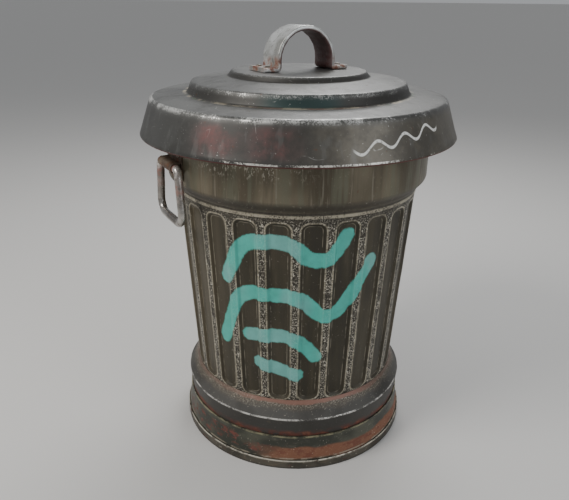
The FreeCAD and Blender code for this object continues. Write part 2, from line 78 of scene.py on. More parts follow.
drum_low, drum_high = foot_of("side_wall"), top_of("side_wall")
drum_top_radius = radius_of("side_wall")
collar_low, rim_top = foot_of("upper_collar"), top_of("upper_collar")
lid_low, lid_top, lid_radius = foot_of("lid_shell"), top_of("lid_shell"), radius_of("lid_shell")
print("foot and top of the drum and top of the rim, in mm:",
      [round(height / MM, 1) for height in (drum_low, drum_high, rim_top)])

# %% [markdown]
# ## One small class for node trees
# Node trees are easier to read as sums than as boxes and wires. `Flow` wraps a socket, and its
# operators add Math nodes. Every other node comes from its one method `node`, which takes the
# node's type, its settings and the values or links of its sockets.

# %% A socket that does arithmetic
class Flow:
    """A socket in a node tree. Without a socket it only stands for the tree."""

    def __init__(self, tree, socket=None):
        self.tree = tree
        self.socket = socket

    def node(self, kind, settings=None, sockets=None, out=0):
        made = self.tree.nodes.new(kind)
        for name, value in (settings or {}).items():
            setattr(made, name, value)
        for key, value in (sockets or {}).items():
            if isinstance(value, Flow):
                self.tree.links.new(value.socket, made.inputs[key])
            else:
                made.inputs[key].default_value = value
        return Flow(self.tree, made.outputs[out] if made.outputs else None)

    def maths(self, operation, *values):
        return self.node("ShaderNodeMath", {"operation": operation}, dict(enumerate(values)))

    def __add__(self, other):
        return self.maths("ADD", self, other)

    def __sub__(self, other):
        return self.maths("SUBTRACT", self, other)

    def __mul__(self, other):
        return self.maths("MULTIPLY", self, other)

    def __truediv__(self, other):
        return self.maths("DIVIDE", self, other)

    def __radd__(self, other):
        return self.maths("ADD", other, self)

    def __rsub__(self, other):
        return self.maths("SUBTRACT", other, self)

    def __rmul__(self, other):
        return self.maths("MULTIPLY", other, self)

    def __abs__(self):
        return self.maths("ABSOLUTE", self)

    def larger(self, other):
        return self.maths("MAXIMUM", self, other)

    def smaller(self, other):
        return self.maths("MINIMUM", self, other)

    def smooth(self, start, end):
        """0 before start, 1 after end and a soft step between."""
        settings = {"interpolation_type": "SMOOTHSTEP"}
        sockets = {"Value": self, "From Min": start, "From Max": end}
        return self.node("ShaderNodeMapRange", settings, sockets)

    def band(self, start, end, soft):
        """1 between start and end, with soft edges."""
        return self.smooth(start - soft, start + soft) * (1 - self.smooth(end - soft, end + soft))

    def parts(self):
        """The three numbers of a vector."""
        return [self.node("ShaderNodeSeparateXYZ", None, {0: self}, out) for out in range(3)]


# %% [markdown]
# ## Shader helpers
# Old galvanised steel is many thin layers: grey zinc, brown film, streaks that ran down, bright
# metal where something rubbed, rust where the zinc is gone. Each layer is a mask with a colour, a
# roughness and a metal value, and the layers are laid over each other in order.

# %% Layers, noise and a new material
def colour(red, green, blue):
    return (red, green, blue, 1.0)


def spot(flow):
    """The point on the object, in metres."""
    return flow.node("ShaderNodeTexCoord", out=3)


def stretched(vector, across, along):
    """The point with its level axes and its height scaled, for streaks."""
    settings = {"operation": "MULTIPLY"}
    return vector.node("ShaderNodeVectorMath", settings, {0: vector, 1: (across, across, along)})


def grain(vector, scale, detail=2.0, roughness=0.5, distortion=0.0):
    sockets = {"Vector": vector, "Scale": scale, "Detail": detail, "Roughness": roughness,
               "Distortion": distortion}
    return vector.node("ShaderNodeTexNoise", None, sockets)


def mark(flow, name):
    """A number that was written on the mesh's points."""
    return flow.node("ShaderNodeAttribute", {"attribute_name": name}, out=2)


def tint(mask, under, over):
    settings = {"data_type": "RGBA", "blend_type": "MIX"}
    return mask.node("ShaderNodeMix", settings, {0: mask, 6: under, 7: over}, out=2)


def layered(ground, layers):
    """Lay (mask, colour, roughness, metal) layers over a ground of the same three values."""
    shade, rough, metal = ground
    for mask, layer_shade, layer_rough, layer_metal in layers:
        shade = tint(mask, shade, layer_shade)
        rough = (1 - mask) * rough + mask * layer_rough
        metal = (1 - mask) * metal + mask * layer_metal
    return shade, rough, metal


def new_steel(name, recipe):
    """A material whose recipe returns its colour, roughness, metal value and relief in metres."""
    material = bpy.data.materials.new(name)
    material.use_nodes = True
    tree = material.node_tree
    shader = tree.nodes["Principled BSDF"]
    flow = Flow(tree)
    shade, rough, metal, relief = recipe(flow, spot(flow))
    bump = flow.node("ShaderNodeBump", None, {"Strength": 1.0, "Distance": 1.0, "Height": relief})
    finish = {"Base Color": shade, "Roughness": rough, "Metallic": metal, "Normal": bump}
    for key, value in finish.items():
        tree.links.new(value.socket, shader.inputs[key])
    print("finish", name, "has", len(tree.nodes), "nodes")
    return material


def scratches(place, scale, width):
    """Thin pale lines along the contours of a drawn-out noise."""
    field = grain(place, scale, 1.0, 0.4, 1.5)
    return 1 - abs(field - 0.5).smooth(width * 0.4, width)


GRIT = 520


def fleck(place, scale, amount):
    """Small bright or dark chips. A larger amount gives more of them."""
    return grain(place, scale, 2.0, 0.7).smooth(0.72 - amount, 0.78 - amount)

# %% [markdown]
# ## Sheet metal as an outline that is spun
# A spinner presses a disc of sheet over a turning form, and every ring of the can is made that way.
# So each ring is an outline of (radius, height, bend) corners. The corners get round bends, the
# line is spun round the axis, and a wall is grown on it to the thickness of the sheet.

# %% Outlines with round bends
def softened(corners, step, closed=False):
    """Points along straight runs between corners, with each corner rounded to its bend."""
    spots = [np.array(corner[:2], float) for corner in corners]
    count = len(spots)
    line = []
    for i, corner in enumerate(corners):
        bend = corner[2] if len(corner) > 2 else 0
        if not bend or (not closed and i in (0, count - 1)):
            line.append(spots[i])
            continue
        back = spots[i - 1] - spots[i]
        ahead = spots[(i + 1) % count] - spots[i]
        back /= np.linalg.norm(back)
        ahead /= np.linalg.norm(ahead)
        half = 0.5 * np.arccos(np.clip(back @ ahead, -1, 1))
        start = spots[i] + back * bend / tan(half)
        end = spots[i] + ahead * bend / tan(half)
        middle = spots[i] + (back + ahead) / np.linalg.norm(back + ahead) * bend / sin(half)
        pieces = max(3, ceil((pi - 2 * half) / radians(15)))
        for k in range(pieces + 1):
            way = (start - middle) * (1 - k / pieces) + (end - middle) * (k / pieces)
            line.append(middle + way / np.linalg.norm(way) * bend)
    filled = []
    for i in range(len(line) if closed else len(line) - 1):
        run = line[(i + 1) % len(line)] - line[i]
        pieces = max(1, ceil(np.linalg.norm(run) / step))
        filled += [line[i] + run * k / pieces for k in range(pieces)]
    return np.array(filled if closed else filled + [line[-1]])


def roll(centre, radius, start, turn):
    """Corners along a rolled edge: an arc about (radius, height) centre, angles in degrees."""
    pieces = ceil(abs(turn) / 20)
    angles = [radians(start + turn * k / pieces) for k in range(pieces + 1)]
    return [(centre[0] + radius * cos(a), centre[1] + radius * sin(a)) for a in angles]


# %% [markdown]
# ## Small dents
# Thin sheet is never true. A shared field of shallow dents moves every piece of the can's body the
# same way, so that lapped pieces stay lapped. It only pushes inwards and dies away at the rim.

# %% The dent field and the mesh maker
DENT = 0.9 * MM


def dent(angle, height, seed=0.0):
    """How far the sheet is pushed in at a place, in metres."""
    broad = noise.noise(Vector((cos(angle) * 2.2 + seed, sin(angle) * 2.2, height * 9)))
    tight = noise.noise(Vector((cos(angle) * 6 + seed, sin(angle) * 6, height * 22 + 5)))
    return DENT * (0.5 + 0.4 * broad + 0.3 * tight)


def push_in(points, seed=0.0, calm=None):
    """The points moved towards the axis by the dent field, less so where calm(point) is low."""
    moved = points.copy()
    for i, (x, y, z) in enumerate(points):
        radius = hypot(x, y)
        if radius < 1 * MM:
            continue
        depth = dent(atan2(y, x), z, seed) * (calm(radius, z) if calm else 1)
        moved[i, :2] *= (radius - depth) / radius
    return moved


def crease(piece, angle):
    """Edges sharper than the angle stay sharp, the rest shade smoothly."""
    piece.data.set_sharp_from_angle(angle=radians(angle))


def write_mark(mesh, name, values):
    """Write a number on each point of a mesh, for a finish to read."""
    mesh.attributes.new(name, "FLOAT", "POINT").data.foreach_set("value", np.asarray(values, np.float32))


def mesh_piece(name, points, faces, marks=None):
    mesh = bpy.data.meshes.new(name)
    mesh.from_pydata([tuple(point) for point in points], [], faces)
    for mark_name, values in (marks or {}).items():
        write_mark(mesh, mark_name, values)
    mesh.shade_smooth()
    piece = bpy.data.objects.new(name, mesh)
    bpy.context.collection.objects.link(piece)
    return piece


def applied(piece):
    """The piece with its modifiers made part of a plain mesh."""
    shown = piece.evaluated_get(bpy.context.evaluated_depsgraph_get())
    plain = bpy.data.meshes.new_from_object(shown)
    piece.modifiers.clear()
    old = piece.data
    piece.data = plain
    bpy.data.meshes.remove(old)
    piece.data.name = piece.name
    return piece


def thicken(piece, sheet, outwards=False):
    """Grow a wall on the piece. The points on its hollow side are marked as inside."""
    given = len(piece.data.vertices)
    wall = piece.modifiers.new("sheet", "SOLIDIFY")
    wall.thickness = sheet
    wall.offset = 1 if outwards else -1
    wall.use_even_offset = True
    wall.use_quality_normals = True
    applied(piece)
    grown = np.arange(len(piece.data.vertices)) >= given
    write_mark(piece.data, "inside", grown != outwards)
    return piece


def finish_piece(piece, material, body, slot, *nodes):
    piece.data.materials.clear()
    piece.data.materials.append(material)
    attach(piece, body)
    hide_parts(*nodes)
    triangles = sum(len(face.vertices) - 2 for face in piece.data.polygons)
    print(piece.name, "stands for", nodes, "with", triangles, "triangles")


def spun_sheet(name, outline, sheet, marks=None, around=360, outwards=False, shape=None):
    """An outline of (radius, height) points spun round the axis and grown to a sheet.
    Each mark is a rule that gives a number from the array of heights."""
    points, faces, first = [], [], []
    for radius, height in outline:
        first.append(len(points))
        turns = [0.0] if radius < 0.1 * MM else np.linspace(0, 2 * pi, around, endpoint=False)
        points += [(radius * cos(a), radius * sin(a), height) for a in turns]
    first.append(len(points))
    for i in range(len(outline) - 1):
        low, high = first[i], first[i + 1]
        for j in range(around):
            k = (j + 1) % around
            if first[i + 2] - high == 1:
                faces.append((low + j, low + k, high))
            else:
                faces.append((low + j, low + k, high + k, high + j))
    points = np.array(points)
    values = {key: rule(points[:, 2]) for key, rule in (marks or {}).items()}
    if shape:
        points = shape(points)
    piece = thicken(mesh_piece(name, points, faces, values), sheet, outwards)
    crease(piece, 50)
    return piece


def near(values, middle, reach):
    """1 at the middle, falling to 0 at that reach on either side."""
    return np.clip(1 - np.abs(values - middle) / reach, 0, 1)


# %% [markdown]
# ## The fluted drum
# The drum is one sheet. A press pushes in 24 tall panels with round corners, and the metal that
# stays out between them makes the ribs. The panels follow a rule, so Geometry Nodes make one
# fifteen-degree sector and stand 24 of it round the axis. Its grid is fine where the metal bends
# and coarse where it is flat. The tree also writes how far each point lies inside its panel's
# outline, which the finish uses to wear the ribs bright.

# %% Sizes of the drum
PANELS = 24
PANEL_LOW = 119 * MM
PANEL_HIGH = 422 * MM
PANEL_DEPTH = 3.8 * MM
PANEL_CORNER = 12 * MM
RIB_TURN = radians(4.2)
PRESS_SLOPE = 4.2 * MM
DRUM_SHEET = 1 * MM
DRUM_FOOT_RADIUS = 170.1 * MM
SECTOR = 2 * pi / PANELS
# Bands of the grid: how many cells, and how much of the sector or the height they cover. The fine
# bands along a panel's edges start a little outside the panel.
EDGE_TURN = radians(1.7)
PANEL_TURN = SECTOR - RIB_TURN
EDGE_LEAD = radians(0.25)
FLAT_RIB = (3, RIB_TURN / 2 - EDGE_LEAD)
PANEL_EDGE = (5, EDGE_TURN)
PANEL_FLAT = (8, PANEL_TURN - 2 * EDGE_TURN + 2 * EDGE_LEAD)
COLUMN_BANDS = [FLAT_RIB, PANEL_EDGE, PANEL_FLAT, PANEL_EDGE, FLAT_RIB]
END_HEIGHT = 15 * MM
END_LEAD = 1 * MM
PANEL_END = (9, END_HEIGHT)
PANEL_RUN = (30, PANEL_HIGH - PANEL_LOW - 2 * (END_HEIGHT - END_LEAD))
ROW_BANDS = [(5, PANEL_LOW - drum_low - END_LEAD), PANEL_END, PANEL_RUN, PANEL_END,
             (5, drum_high - PANEL_HIGH - END_LEAD)]
columns = sum(count for count, size in COLUMN_BANDS)
rows = sum(count for count, size in ROW_BANDS)
print("one sector of the drum has", columns, "by", rows, "cells")


# %% Build the drum's node tree
def banded(index, bands, start):
    """Where a grid line lies, when each band has its own number of cells and its own size."""
    place, first = start, 0
    for count, size in bands:
        inside = (index - first).larger(0).smaller(count)
        place = inside * (size / count) + place
        first += count
    return place


def drum_tree():
    tree = bpy.data.node_groups.new("fluted drum", "GeometryNodeTree")
    tree.interface.new_socket("Sheet", in_out="INPUT", socket_type="NodeSocketGeometry")
    sizes = {"Panels": ("NodeSocketInt", PANELS), "Panel depth": ("NodeSocketFloat", PANEL_DEPTH),
             "Corner": ("NodeSocketFloat", PANEL_CORNER)}
    for name, (kind, value) in sizes.items():
        tree.interface.new_socket(name, in_out="INPUT", socket_type=kind).default_value = value
    tree.interface.new_socket("Finish", in_out="INPUT", socket_type="NodeSocketMaterial")
    tree.interface.new_socket("Drum", in_out="OUTPUT", socket_type="NodeSocketGeometry")
    flow = Flow(tree)
    entry = tree.nodes.new("NodeGroupInput")
    panels, depth, corner, steel = [Flow(tree, entry.outputs[name]) for name in (*sizes, "Finish")]

    grid_sizes = {"Size X": float(columns), "Size Y": float(rows),
                  "Vertices X": columns + 1, "Vertices Y": rows + 1}
    grid = flow.node("GeometryNodeMeshGrid", None, grid_sizes)
    across, up = flow.node("GeometryNodeInputPosition").parts()[:2]
    turn = banded(across + columns / 2, COLUMN_BANDS, -SECTOR / 2)
    height = banded(up + rows / 2, ROW_BANDS, drum_low)

    taper = (drum_top_radius - DRUM_FOOT_RADIUS) / (drum_high - drum_low)
    radius = (height - drum_low) * taper + DRUM_FOOT_RADIUS
    side = abs(turn) * radius - (radius * (PANEL_TURN / 2) - corner)
    end = abs(height - (PANEL_LOW + PANEL_HIGH) / 2) - ((PANEL_HIGH - PANEL_LOW) / 2 - corner)
    outside_side, outside_end = side.larger(0), end.larger(0)
    away = flow.maths("SQRT", outside_side * outside_side + outside_end * outside_end)
    away = away + side.larger(end).smaller(0) - corner
    pressed = radius - (0 - away).smooth(0.0, PRESS_SLOPE) * depth
    place = flow.node("ShaderNodeCombineXYZ", None, {
        0: pressed * flow.maths("COSINE", turn), 1: pressed * flow.maths("SINE", turn), 2: height})

    named = flow.node("GeometryNodeStoreNamedAttribute", {"data_type": "FLOAT", "domain": "POINT"},
                      {"Geometry": grid, "Name": "press", "Value": away})
    bent = flow.node("GeometryNodeSetPosition", None, {"Geometry": named, "Position": place})
    stand = flow.node("GeometryNodeMeshLine", {"mode": "OFFSET"}, {"Count": panels, "Offset": (0, 0, 0)})
    number = flow.node("GeometryNodeInputIndex")
    yaw = (number + 0.5) * (2 * pi) / panels
    ring = flow.node("GeometryNodeInstanceOnPoints", None, {
        "Points": stand, "Instance": bent,
        "Rotation": flow.node("ShaderNodeCombineXYZ", None, {0: 0.0, 1: 0.0, 2: yaw})})
    whole = flow.node("GeometryNodeRealizeInstances", None, {"Geometry": ring})
    seamed = flow.node("GeometryNodeMergeByDistance", None, {"Geometry": whole, "Distance": 0.05 * MM})
    smooth = flow.node("GeometryNodeSetShadeSmooth", None, {"Geometry": seamed})
    steeled = flow.node("GeometryNodeSetMaterial", None, {"Geometry": smooth, "Material": steel})
    leave = tree.nodes.new("NodeGroupOutput")
    tree.links.new(steeled.socket, leave.inputs[0])
    return tree


def run_tree(piece, tree, values):
    """The piece after a tree has made it, as a plain mesh."""
    maker = piece.modifiers.new(tree.name, "NODES")
    maker.node_group = tree
    for item in tree.interface.items_tree:
        if item.in_out == "INPUT" and item.name in values:
            maker[item.identifier] = values[item.name]
    return applied(piece)


# %% [markdown]
# ## The drum's finish
# The pressed panels hold a dark brown film. Hands, carts and other cans rub only the ribs, so the
# film is gone along both edges of each rib, and dull tan metal shows, speckled with brighter
# chips. The number that the tree wrote says where those edges are: zero on a panel's outline,
# positive on the rib and negative in the panel.

# %% Drum steel
PANEL_FILM = colour(0.036, 0.031, 0.019)
PANEL_BARE = colour(0.060, 0.051, 0.033)
# A paler brown, painted on the left of the drum as painted light.
PANEL_PAINTED_LIGHT = colour(0.098, 0.080, 0.048)
RUBBED_TAN = colour(0.42, 0.38, 0.29)
RIB_DARK = colour(0.026, 0.023, 0.018)
RIB_FILM = colour(0.070, 0.060, 0.043)
CHIP_BRIGHT = colour(0.66, 0.62, 0.52)
RUST_BROWN = colour(0.11, 0.045, 0.018)
SPRAY_GREEN = colour(0.075, 0.52, 0.43)
SPRAY_GREY = colour(0.17, 0.50, 0.45)
FRONT = radians(-29)
CAN_RADIUS = 190 * MM
SPRAY_RADIUS = 13 * MM


def round_front(place):
    """How far round a point lies from the can's front, in radians, and how far it lies to the side
    as a share of the can's radius. Both are positive to the right. The first jumps at the very
    back, so it only places marks near the front, and the second is even all the way round."""
    across, back = place.parts()[:2]
    rightwards = across * cos(FRONT) + back * sin(FRONT)
    away = back * cos(FRONT) - across * sin(FRONT)
    return place.maths("ARCTAN2", rightwards, 0 - away), rightwards / CAN_RADIUS


def drum_recipe(flow, place):
    press = mark(flow, "press")
    side = round_front(place)[1]
    broad = grain(stretched(place, 1.0, 0.55), 14, 3)
    streak = grain(stretched(place, 1.0, 0.06), 95, 3, 0.6)
    dust = grain(place, 420, 3, 0.7)
    grit = grain(place, GRIT, 2, 0.7)
    patchy = grain(place, 55, 3, 0.65)
    broken = (patchy * 0.6 + grit * 0.8).smooth(0.60, 0.82)
    crest = press.band(0.0 * MM, 2.4 * MM, 0.5 * MM)
    # Painted highlight: a thin, broken bright line at the foot of each panel's pressed slope.
    panel_foot_highlight = press.band(-4.9 * MM, -4.1 * MM, 0.4 * MM) * patchy.smooth(0.42, 0.58)
    middle = press.smooth(1.8 * MM, 3.2 * MM)
    speckled = middle * (1 - place.parts()[2].smooth(PANEL_HIGH - 6 * MM, PANEL_HIGH + 2 * MM) * 0.6)
    # Painted light: the left of the drum is painted paler, as if lit from the left.
    pale = 1 - (side + (broad - 0.5) * 0.5).smooth(-0.86, -0.42)
    outside = 1 - mark(flow, "inside")
    sprayed = SPRAY_RADIUS - mark(flow, "spray") + (patchy - 0.5) * (6 * MM) + (grit - 0.5) * (3 * MM)
    ground = (tint(broad.smooth(0.36, 0.66), PANEL_FILM, PANEL_BARE), 0.45, 0.35)
    shade, rough, metal = layered(ground, [
        (pale * 0.75, PANEL_PAINTED_LIGHT, 0.42, 0.4),
        (streak.smooth(0.52, 0.72) * 0.5, colour(0.085, 0.072, 0.048), 0.42, 0.45),
        (streak.smooth(0.55, 0.30) * 0.45, RIB_DARK, 0.6, 0.2),
        (middle * 0.8, RIB_FILM, 0.5, 0.35),
        (middle * grit.smooth(0.54, 0.47) * 0.9, RIB_DARK, 0.6, 0.2),
        (outside * speckled * grit.smooth(0.54, 0.61) * patchy.smooth(0.34, 0.50) * 0.95,
         CHIP_BRIGHT, 0.35, 0.6),
        # painted highlight at the foot of each panel's slope
        (panel_foot_highlight * 0.6, RUBBED_TAN, 0.4, 0.5),
        (outside * crest * (0.25 + broken * 0.75), RUBBED_TAN, 0.38, 0.5),
        (outside * crest * fleck(place, 300, 0.12) * 0.9, CHIP_BRIGHT, 0.3, 0.8),
        (fleck(place, 380, 0.03) * 0.5, CHIP_BRIGHT, 0.4, 0.6),
        (outside * sprayed.smooth(0.0, 3 * MM) * (0.60 + patchy * 0.5).smaller(1.0),
         tint(broad.smooth(0.46, 0.60), SPRAY_GREEN, SPRAY_GREY), 0.5, 0.0),
    ])
    relief = broad * (0.5 * MM) + dust * (0.05 * MM) + streak * (0.04 * MM) + middle * grit * (0.12 * MM)
    return shade, rough + (dust - 0.5) * 0.16, metal, relief


drum_steel = new_steel("drum_steel", drum_recipe)

# %% [markdown]
# ## Paint on the panels
# Someone sprayed a few loose strokes across the front of the drum. They are two loose waves and
# two dabs, which say nothing. Each stroke is a short chain of points on the unrolled wall, and every
# point of the drum is told how far it lies from the nearest stroke. The finish turns that into soft
# paint.

# %% Stand the drum up and mark the sprayed strokes
WALL_RADIUS = 185 * MM


def on_wall(points):
    """Unrolled places of points: metres round from the front, and height."""
    angle = np.arctan2(points[:, 0], -points[:, 1]) - FRONT
    angle = (angle + pi) % (2 * pi) - pi
    return np.stack([angle * WALL_RADIUS, points[:, 2]], 1)


def distance_to(chain, flat):
    """How far each unrolled place lies from a chain of (across, height) points."""
    nearest = np.full(len(flat), 1.0)
    for start, end in zip(chain[:-1], chain[1:]):
        run = end - start
        share = np.clip((flat - start) @ run / (run @ run), 0, 1)
        nearest = np.minimum(nearest, np.linalg.norm(flat - start - share[:, None] * run, axis=1))
    return nearest


STROKES = [
    [(-0.112, 0.325), (-0.080, 0.392, 0.04), (-0.010, 0.392, 0.04), (0.035, 0.345, 0.03),
     (0.070, 0.400)],
    [(-0.125, 0.215), (-0.090, 0.308, 0.04), (0.005, 0.305, 0.04), (0.050, 0.252, 0.03),
     (0.116, 0.352)],
    [(-0.078, 0.232), (-0.005, 0.240, 0.06), (0.030, 0.200)],
    [(-0.060, 0.184), (0.002, 0.166)],
]

drum = mesh_piece("fluted_drum", [(0, 0, 0)], [])
run_tree(drum, drum_tree(), {"Finish": drum_steel})
corners = np.empty(len(drum.data.vertices) * 3)
drum.data.vertices.foreach_get("co", corners)
corners = corners.reshape(-1, 3)
STROKE_STEP = 8 * MM
wall = on_wall(corners)
strokes_away = [distance_to(softened(chain, STROKE_STEP), wall) for chain in STROKES]
write_mark(drum.data, "spray", np.min(strokes_away, axis=0))
corners = push_in(corners)
drum.data.vertices.foreach_set("co", corners.ravel())
drum.data.update()
thicken(drum, DRUM_SHEET)
crease(drum, 60)
finish_piece(drum, drum_steel, "can", "drum_steel", "side_wall")

# %% [markdown]
# ## The collar
# The collar is a plain band. Its lower edge laps over the drum, then the sheet slopes out to the
# full width, stands upright, and curls outwards round a wire that stiffens the rim. Rain and
# spilled liquids ran down it, so its film lies in upright streaks, and the film is painted a
# little lighter on the left as painted light. The slope is painted dark as painted shade with some
# dirt, and the lap below it is rubbed as bright as the ribs.

# %% Collar steel
COLLAR_FILM = colour(0.185, 0.158, 0.108)
COLLAR_DARK = colour(0.085, 0.070, 0.046)
COLLAR_GREEN = colour(0.150, 0.155, 0.110)
COLLAR_PALE = colour(0.32, 0.29, 0.23)


def collar_recipe(flow, place):
    lap, slope, rim = mark(flow, "lap"), mark(flow, "slope"), mark(flow, "rim")
    turn, side = round_front(place)
    height = place.parts()[2]
    broad = grain(stretched(place, 1.0, 0.6), 11, 3)
    streak = grain(stretched(place, 1.0, 0.07), 62, 4, 0.62)
    thin = grain(stretched(place, 1.0, 0.05), 240, 2)
    dust = grain(place, 430, 3, 0.7)
    grit = grain(place, GRIT, 2, 0.7)
    patchy = grain(place, 48, 3, 0.65)
    chipped = turn.band(-0.72, -0.02, 0.22) * height.smooth(478 * MM, 500 * MM)
    chipped = chipped * patchy.smooth(0.42, 0.52)
    runs = grain(stretched(place, 1.0, 0.45), 380, 2, 0.7)
    lap_edge = 1 - height.smooth(collar_low + 3.5 * MM, collar_low + 5.5 * MM)
    # Painted light: the collar's film is a little lighter on the left and darker on the right.
    ground = (tint((broad - side * 0.05).smooth(0.36, 0.64), COLLAR_DARK, COLLAR_FILM), 0.40, 0.45)
    shade, rough, metal = layered(ground, [
        (streak.smooth(0.48, 0.62) * 0.55, COLLAR_GREEN, 0.4, 0.45),
        (streak.smooth(0.48, 0.36) * 0.55, COLLAR_DARK, 0.5, 0.35),
        (thin.smooth(0.60, 0.70) * 0.35, COLLAR_PALE, 0.35, 0.6),
        (chipped * runs.smooth(0.56, 0.62) * 0.65, CHIP_BRIGHT, 0.3, 0.5),
        (fleck(place, 330, 0.05) * 0.5, COLLAR_PALE, 0.35, 0.7),
        (fleck(stretched(place, 1.0, 0.5), 90, 0.02) * 0.6, RUST_BROWN, 0.7, 0.0),
        # Painted shade, with some dirt: the slope under the shoulder is painted dark.
        (slope * (0.75 + patchy * 0.4).smaller(1.0), colour(0.042, 0.034, 0.024), 0.62, 0.15),
        (slope * fleck(place, 280, 0.06) * 0.5, CHIP_BRIGHT, 0.4, 0.6),
        (lap, RIB_FILM, 0.5, 0.3),
        (lap * grit.smooth(0.54, 0.47) * 0.8, RIB_DARK, 0.6, 0.2),
        (lap * lap_edge * (patchy * 0.5 + grit * 0.8).smooth(0.50, 0.70), RUBBED_TAN, 0.4, 0.5),
        (rim * patchy.smooth(0.4, 0.6) * 0.8, CHIP_BRIGHT, 0.3, 0.8),
    ])
    relief = broad * (0.7 * MM) + dust * (0.05 * MM) + streak * (0.08 * MM)
    return shade, rough + (dust - 0.5) * 0.14, metal, relief


collar_steel = new_steel("collar_steel", collar_recipe)

# %% Spin the collar
COLLAR_SHEET = 1 * MM
CURL_RADIUS = 5 * MM
COLLAR_KNEE = 438 * MM
COLLAR_SHOULDER = 454 * MM
KNEE_BEND = 4 * MM
SHOULDER_BEND = 8 * MM
CURL_START, CURL_TURN = 180, -300
SLOPE_REACH = 11 * MM
RIM_BAND = 9 * MM
CALM_HEIGHT = 30 * MM
LAP_GAP = 0.05 * MM


def drum_radius(height):
    """Outside of the drum over its ribs."""
    taper = (drum_top_radius - DRUM_FOOT_RADIUS) / (drum_high - drum_low)
    return DRUM_FOOT_RADIUS + (height - drum_low) * taper


curl_ring = radius_of("upper_collar") - CURL_RADIUS
collar_inside = curl_ring - CURL_RADIUS
curl_height = rim_top - CURL_RADIUS
collar_corners = [
    (drum_radius(collar_low) + LAP_GAP, collar_low),
    (drum_radius(COLLAR_KNEE) + LAP_GAP, COLLAR_KNEE, KNEE_BEND),
    (collar_inside, COLLAR_SHOULDER, SHOULDER_BEND),
] + roll((curl_ring, curl_height), CURL_RADIUS, CURL_START, CURL_TURN)
slope_middle = (COLLAR_KNEE + COLLAR_SHOULDER) / 2
collar_marks = {
    "lap": lambda height: height < COLLAR_KNEE + 1 * MM,
    "slope": lambda height: near(height, slope_middle, SLOPE_REACH) ** 0.5,
    "rim": lambda height: height > rim_top - RIM_BAND,
}


def still_rim(radius, height):
    """Dents that die away towards the rim."""
    return min(1, (rim_top - height) / CALM_HEIGHT)


collar = spun_sheet("plain_collar", softened(collar_corners, 5 * MM), COLLAR_SHEET, collar_marks,
                    outwards=True, shape=lambda points: push_in(points, calm=still_rim))
finish_piece(collar, collar_steel, "can", "collar_steel", "upper_collar")

# %% [markdown]
# ## The base
# The flared base takes the knocks. Its upper slope is grey-green zinc worn to tan in patches, its
# widest edge is scraped to bright metal, and the metal that turns in below it rusts where water
# sits. The skirt under it is green with age, and the foot hoop has an orange line of rust above it.
# All of these lie at fixed heights, so the finish reads the height of each point.

# %% Base steel
BASE_GREY = colour(0.078, 0.075, 0.068)
BASE_TAN = colour(0.155, 0.125, 0.088)
BASE_DARK = colour(0.046, 0.043, 0.038)
LIP_PINK = colour(0.23, 0.115, 0.085)
RUST_ORANGE = colour(0.235, 0.094, 0.050)
RUST_RED = colour(0.125, 0.034, 0.022)
SKIRT_DARK, SKIRT_GREEN = colour(0.042, 0.044, 0.034), colour(0.082, 0.084, 0.062)
HOOP_DARK, HOOP_BROWN = colour(0.052, 0.047, 0.036), colour(0.100, 0.090, 0.070)
BASE_EDGE = 92 * MM
base_low, base_high = foot_of("base_ring"), top_of("base_ring")


def base_recipe(flow, place):
    height = place.parts()[2]
    broad = grain(place, 13, 3)
    patchy = grain(stretched(place, 1.0, 1.4), 42, 4, 0.65)
    dust = grain(place, 400, 3, 0.7)
    grit = grain(place, GRIT, 2, 0.7)
    rising = height + (patchy - 0.5) * (16 * MM)
    front = round_front(place)[0].band(-0.45, 0.75, 0.25)
    upper = rising.smooth(BASE_EDGE + 9 * MM, BASE_EDGE + 20 * MM)
    edge = height.band(BASE_EDGE - 1.6 * MM, BASE_EDGE + 1.2 * MM, 0.6 * MM)
    lip = (height + (patchy - 0.5) * (8 * MM)).smooth(base_high - 6.5 * MM, base_high - 4.0 * MM)
    under = 1 - height.smooth(BASE_EDGE - 4 * MM, BASE_EDGE - 1 * MM)
    groove = 1 - height.smooth(base_low + 4 * MM, base_low + 13 * MM)
    ground = (tint(broad.smooth(0.38, 0.64), BASE_DARK, BASE_GREY), 0.68, 0.2)
    shade, rough, metal = layered(ground, [
        (upper * (0.35 + dust * 0.6) * 0.8, BASE_TAN, 0.45, 0.4),
        (upper * grit.smooth(0.56, 0.64) * 0.4, CHIP_BRIGHT, 0.4, 0.4),
        (upper * grit.smooth(0.46, 0.38) * 0.6, RIB_DARK, 0.6, 0.2),
        (fleck(place, 300, 0.06) * 0.5, CHIP_BRIGHT, 0.35, 0.7),
        (lip * (0.3 + front * 0.6), LIP_PINK, 0.5, 0.2),
        (under * 0.75, BASE_DARK, 0.45, 0.45),
        (under * fleck(place, 130, 0.04) * 0.4, BASE_TAN, 0.4, 0.6),
        (groove * patchy.smooth(0.36, 0.56) * 0.85, RUST_RED, 0.75, 0.0),
        (groove * (patchy + dust * 0.3).smooth(0.68, 0.80) * 0.6, RUST_ORANGE, 0.8, 0.0),
        (edge * (patchy * 0.8 + grit * 0.6).smooth(0.62, 0.78), colour(0.66, 0.64, 0.60), 0.3, 0.5),
    ])
    relief = broad * (0.8 * MM) + dust * (0.06 * MM) + patchy * (0.12 * MM)
    return shade, rough + (dust - 0.5) * 0.16, metal, relief


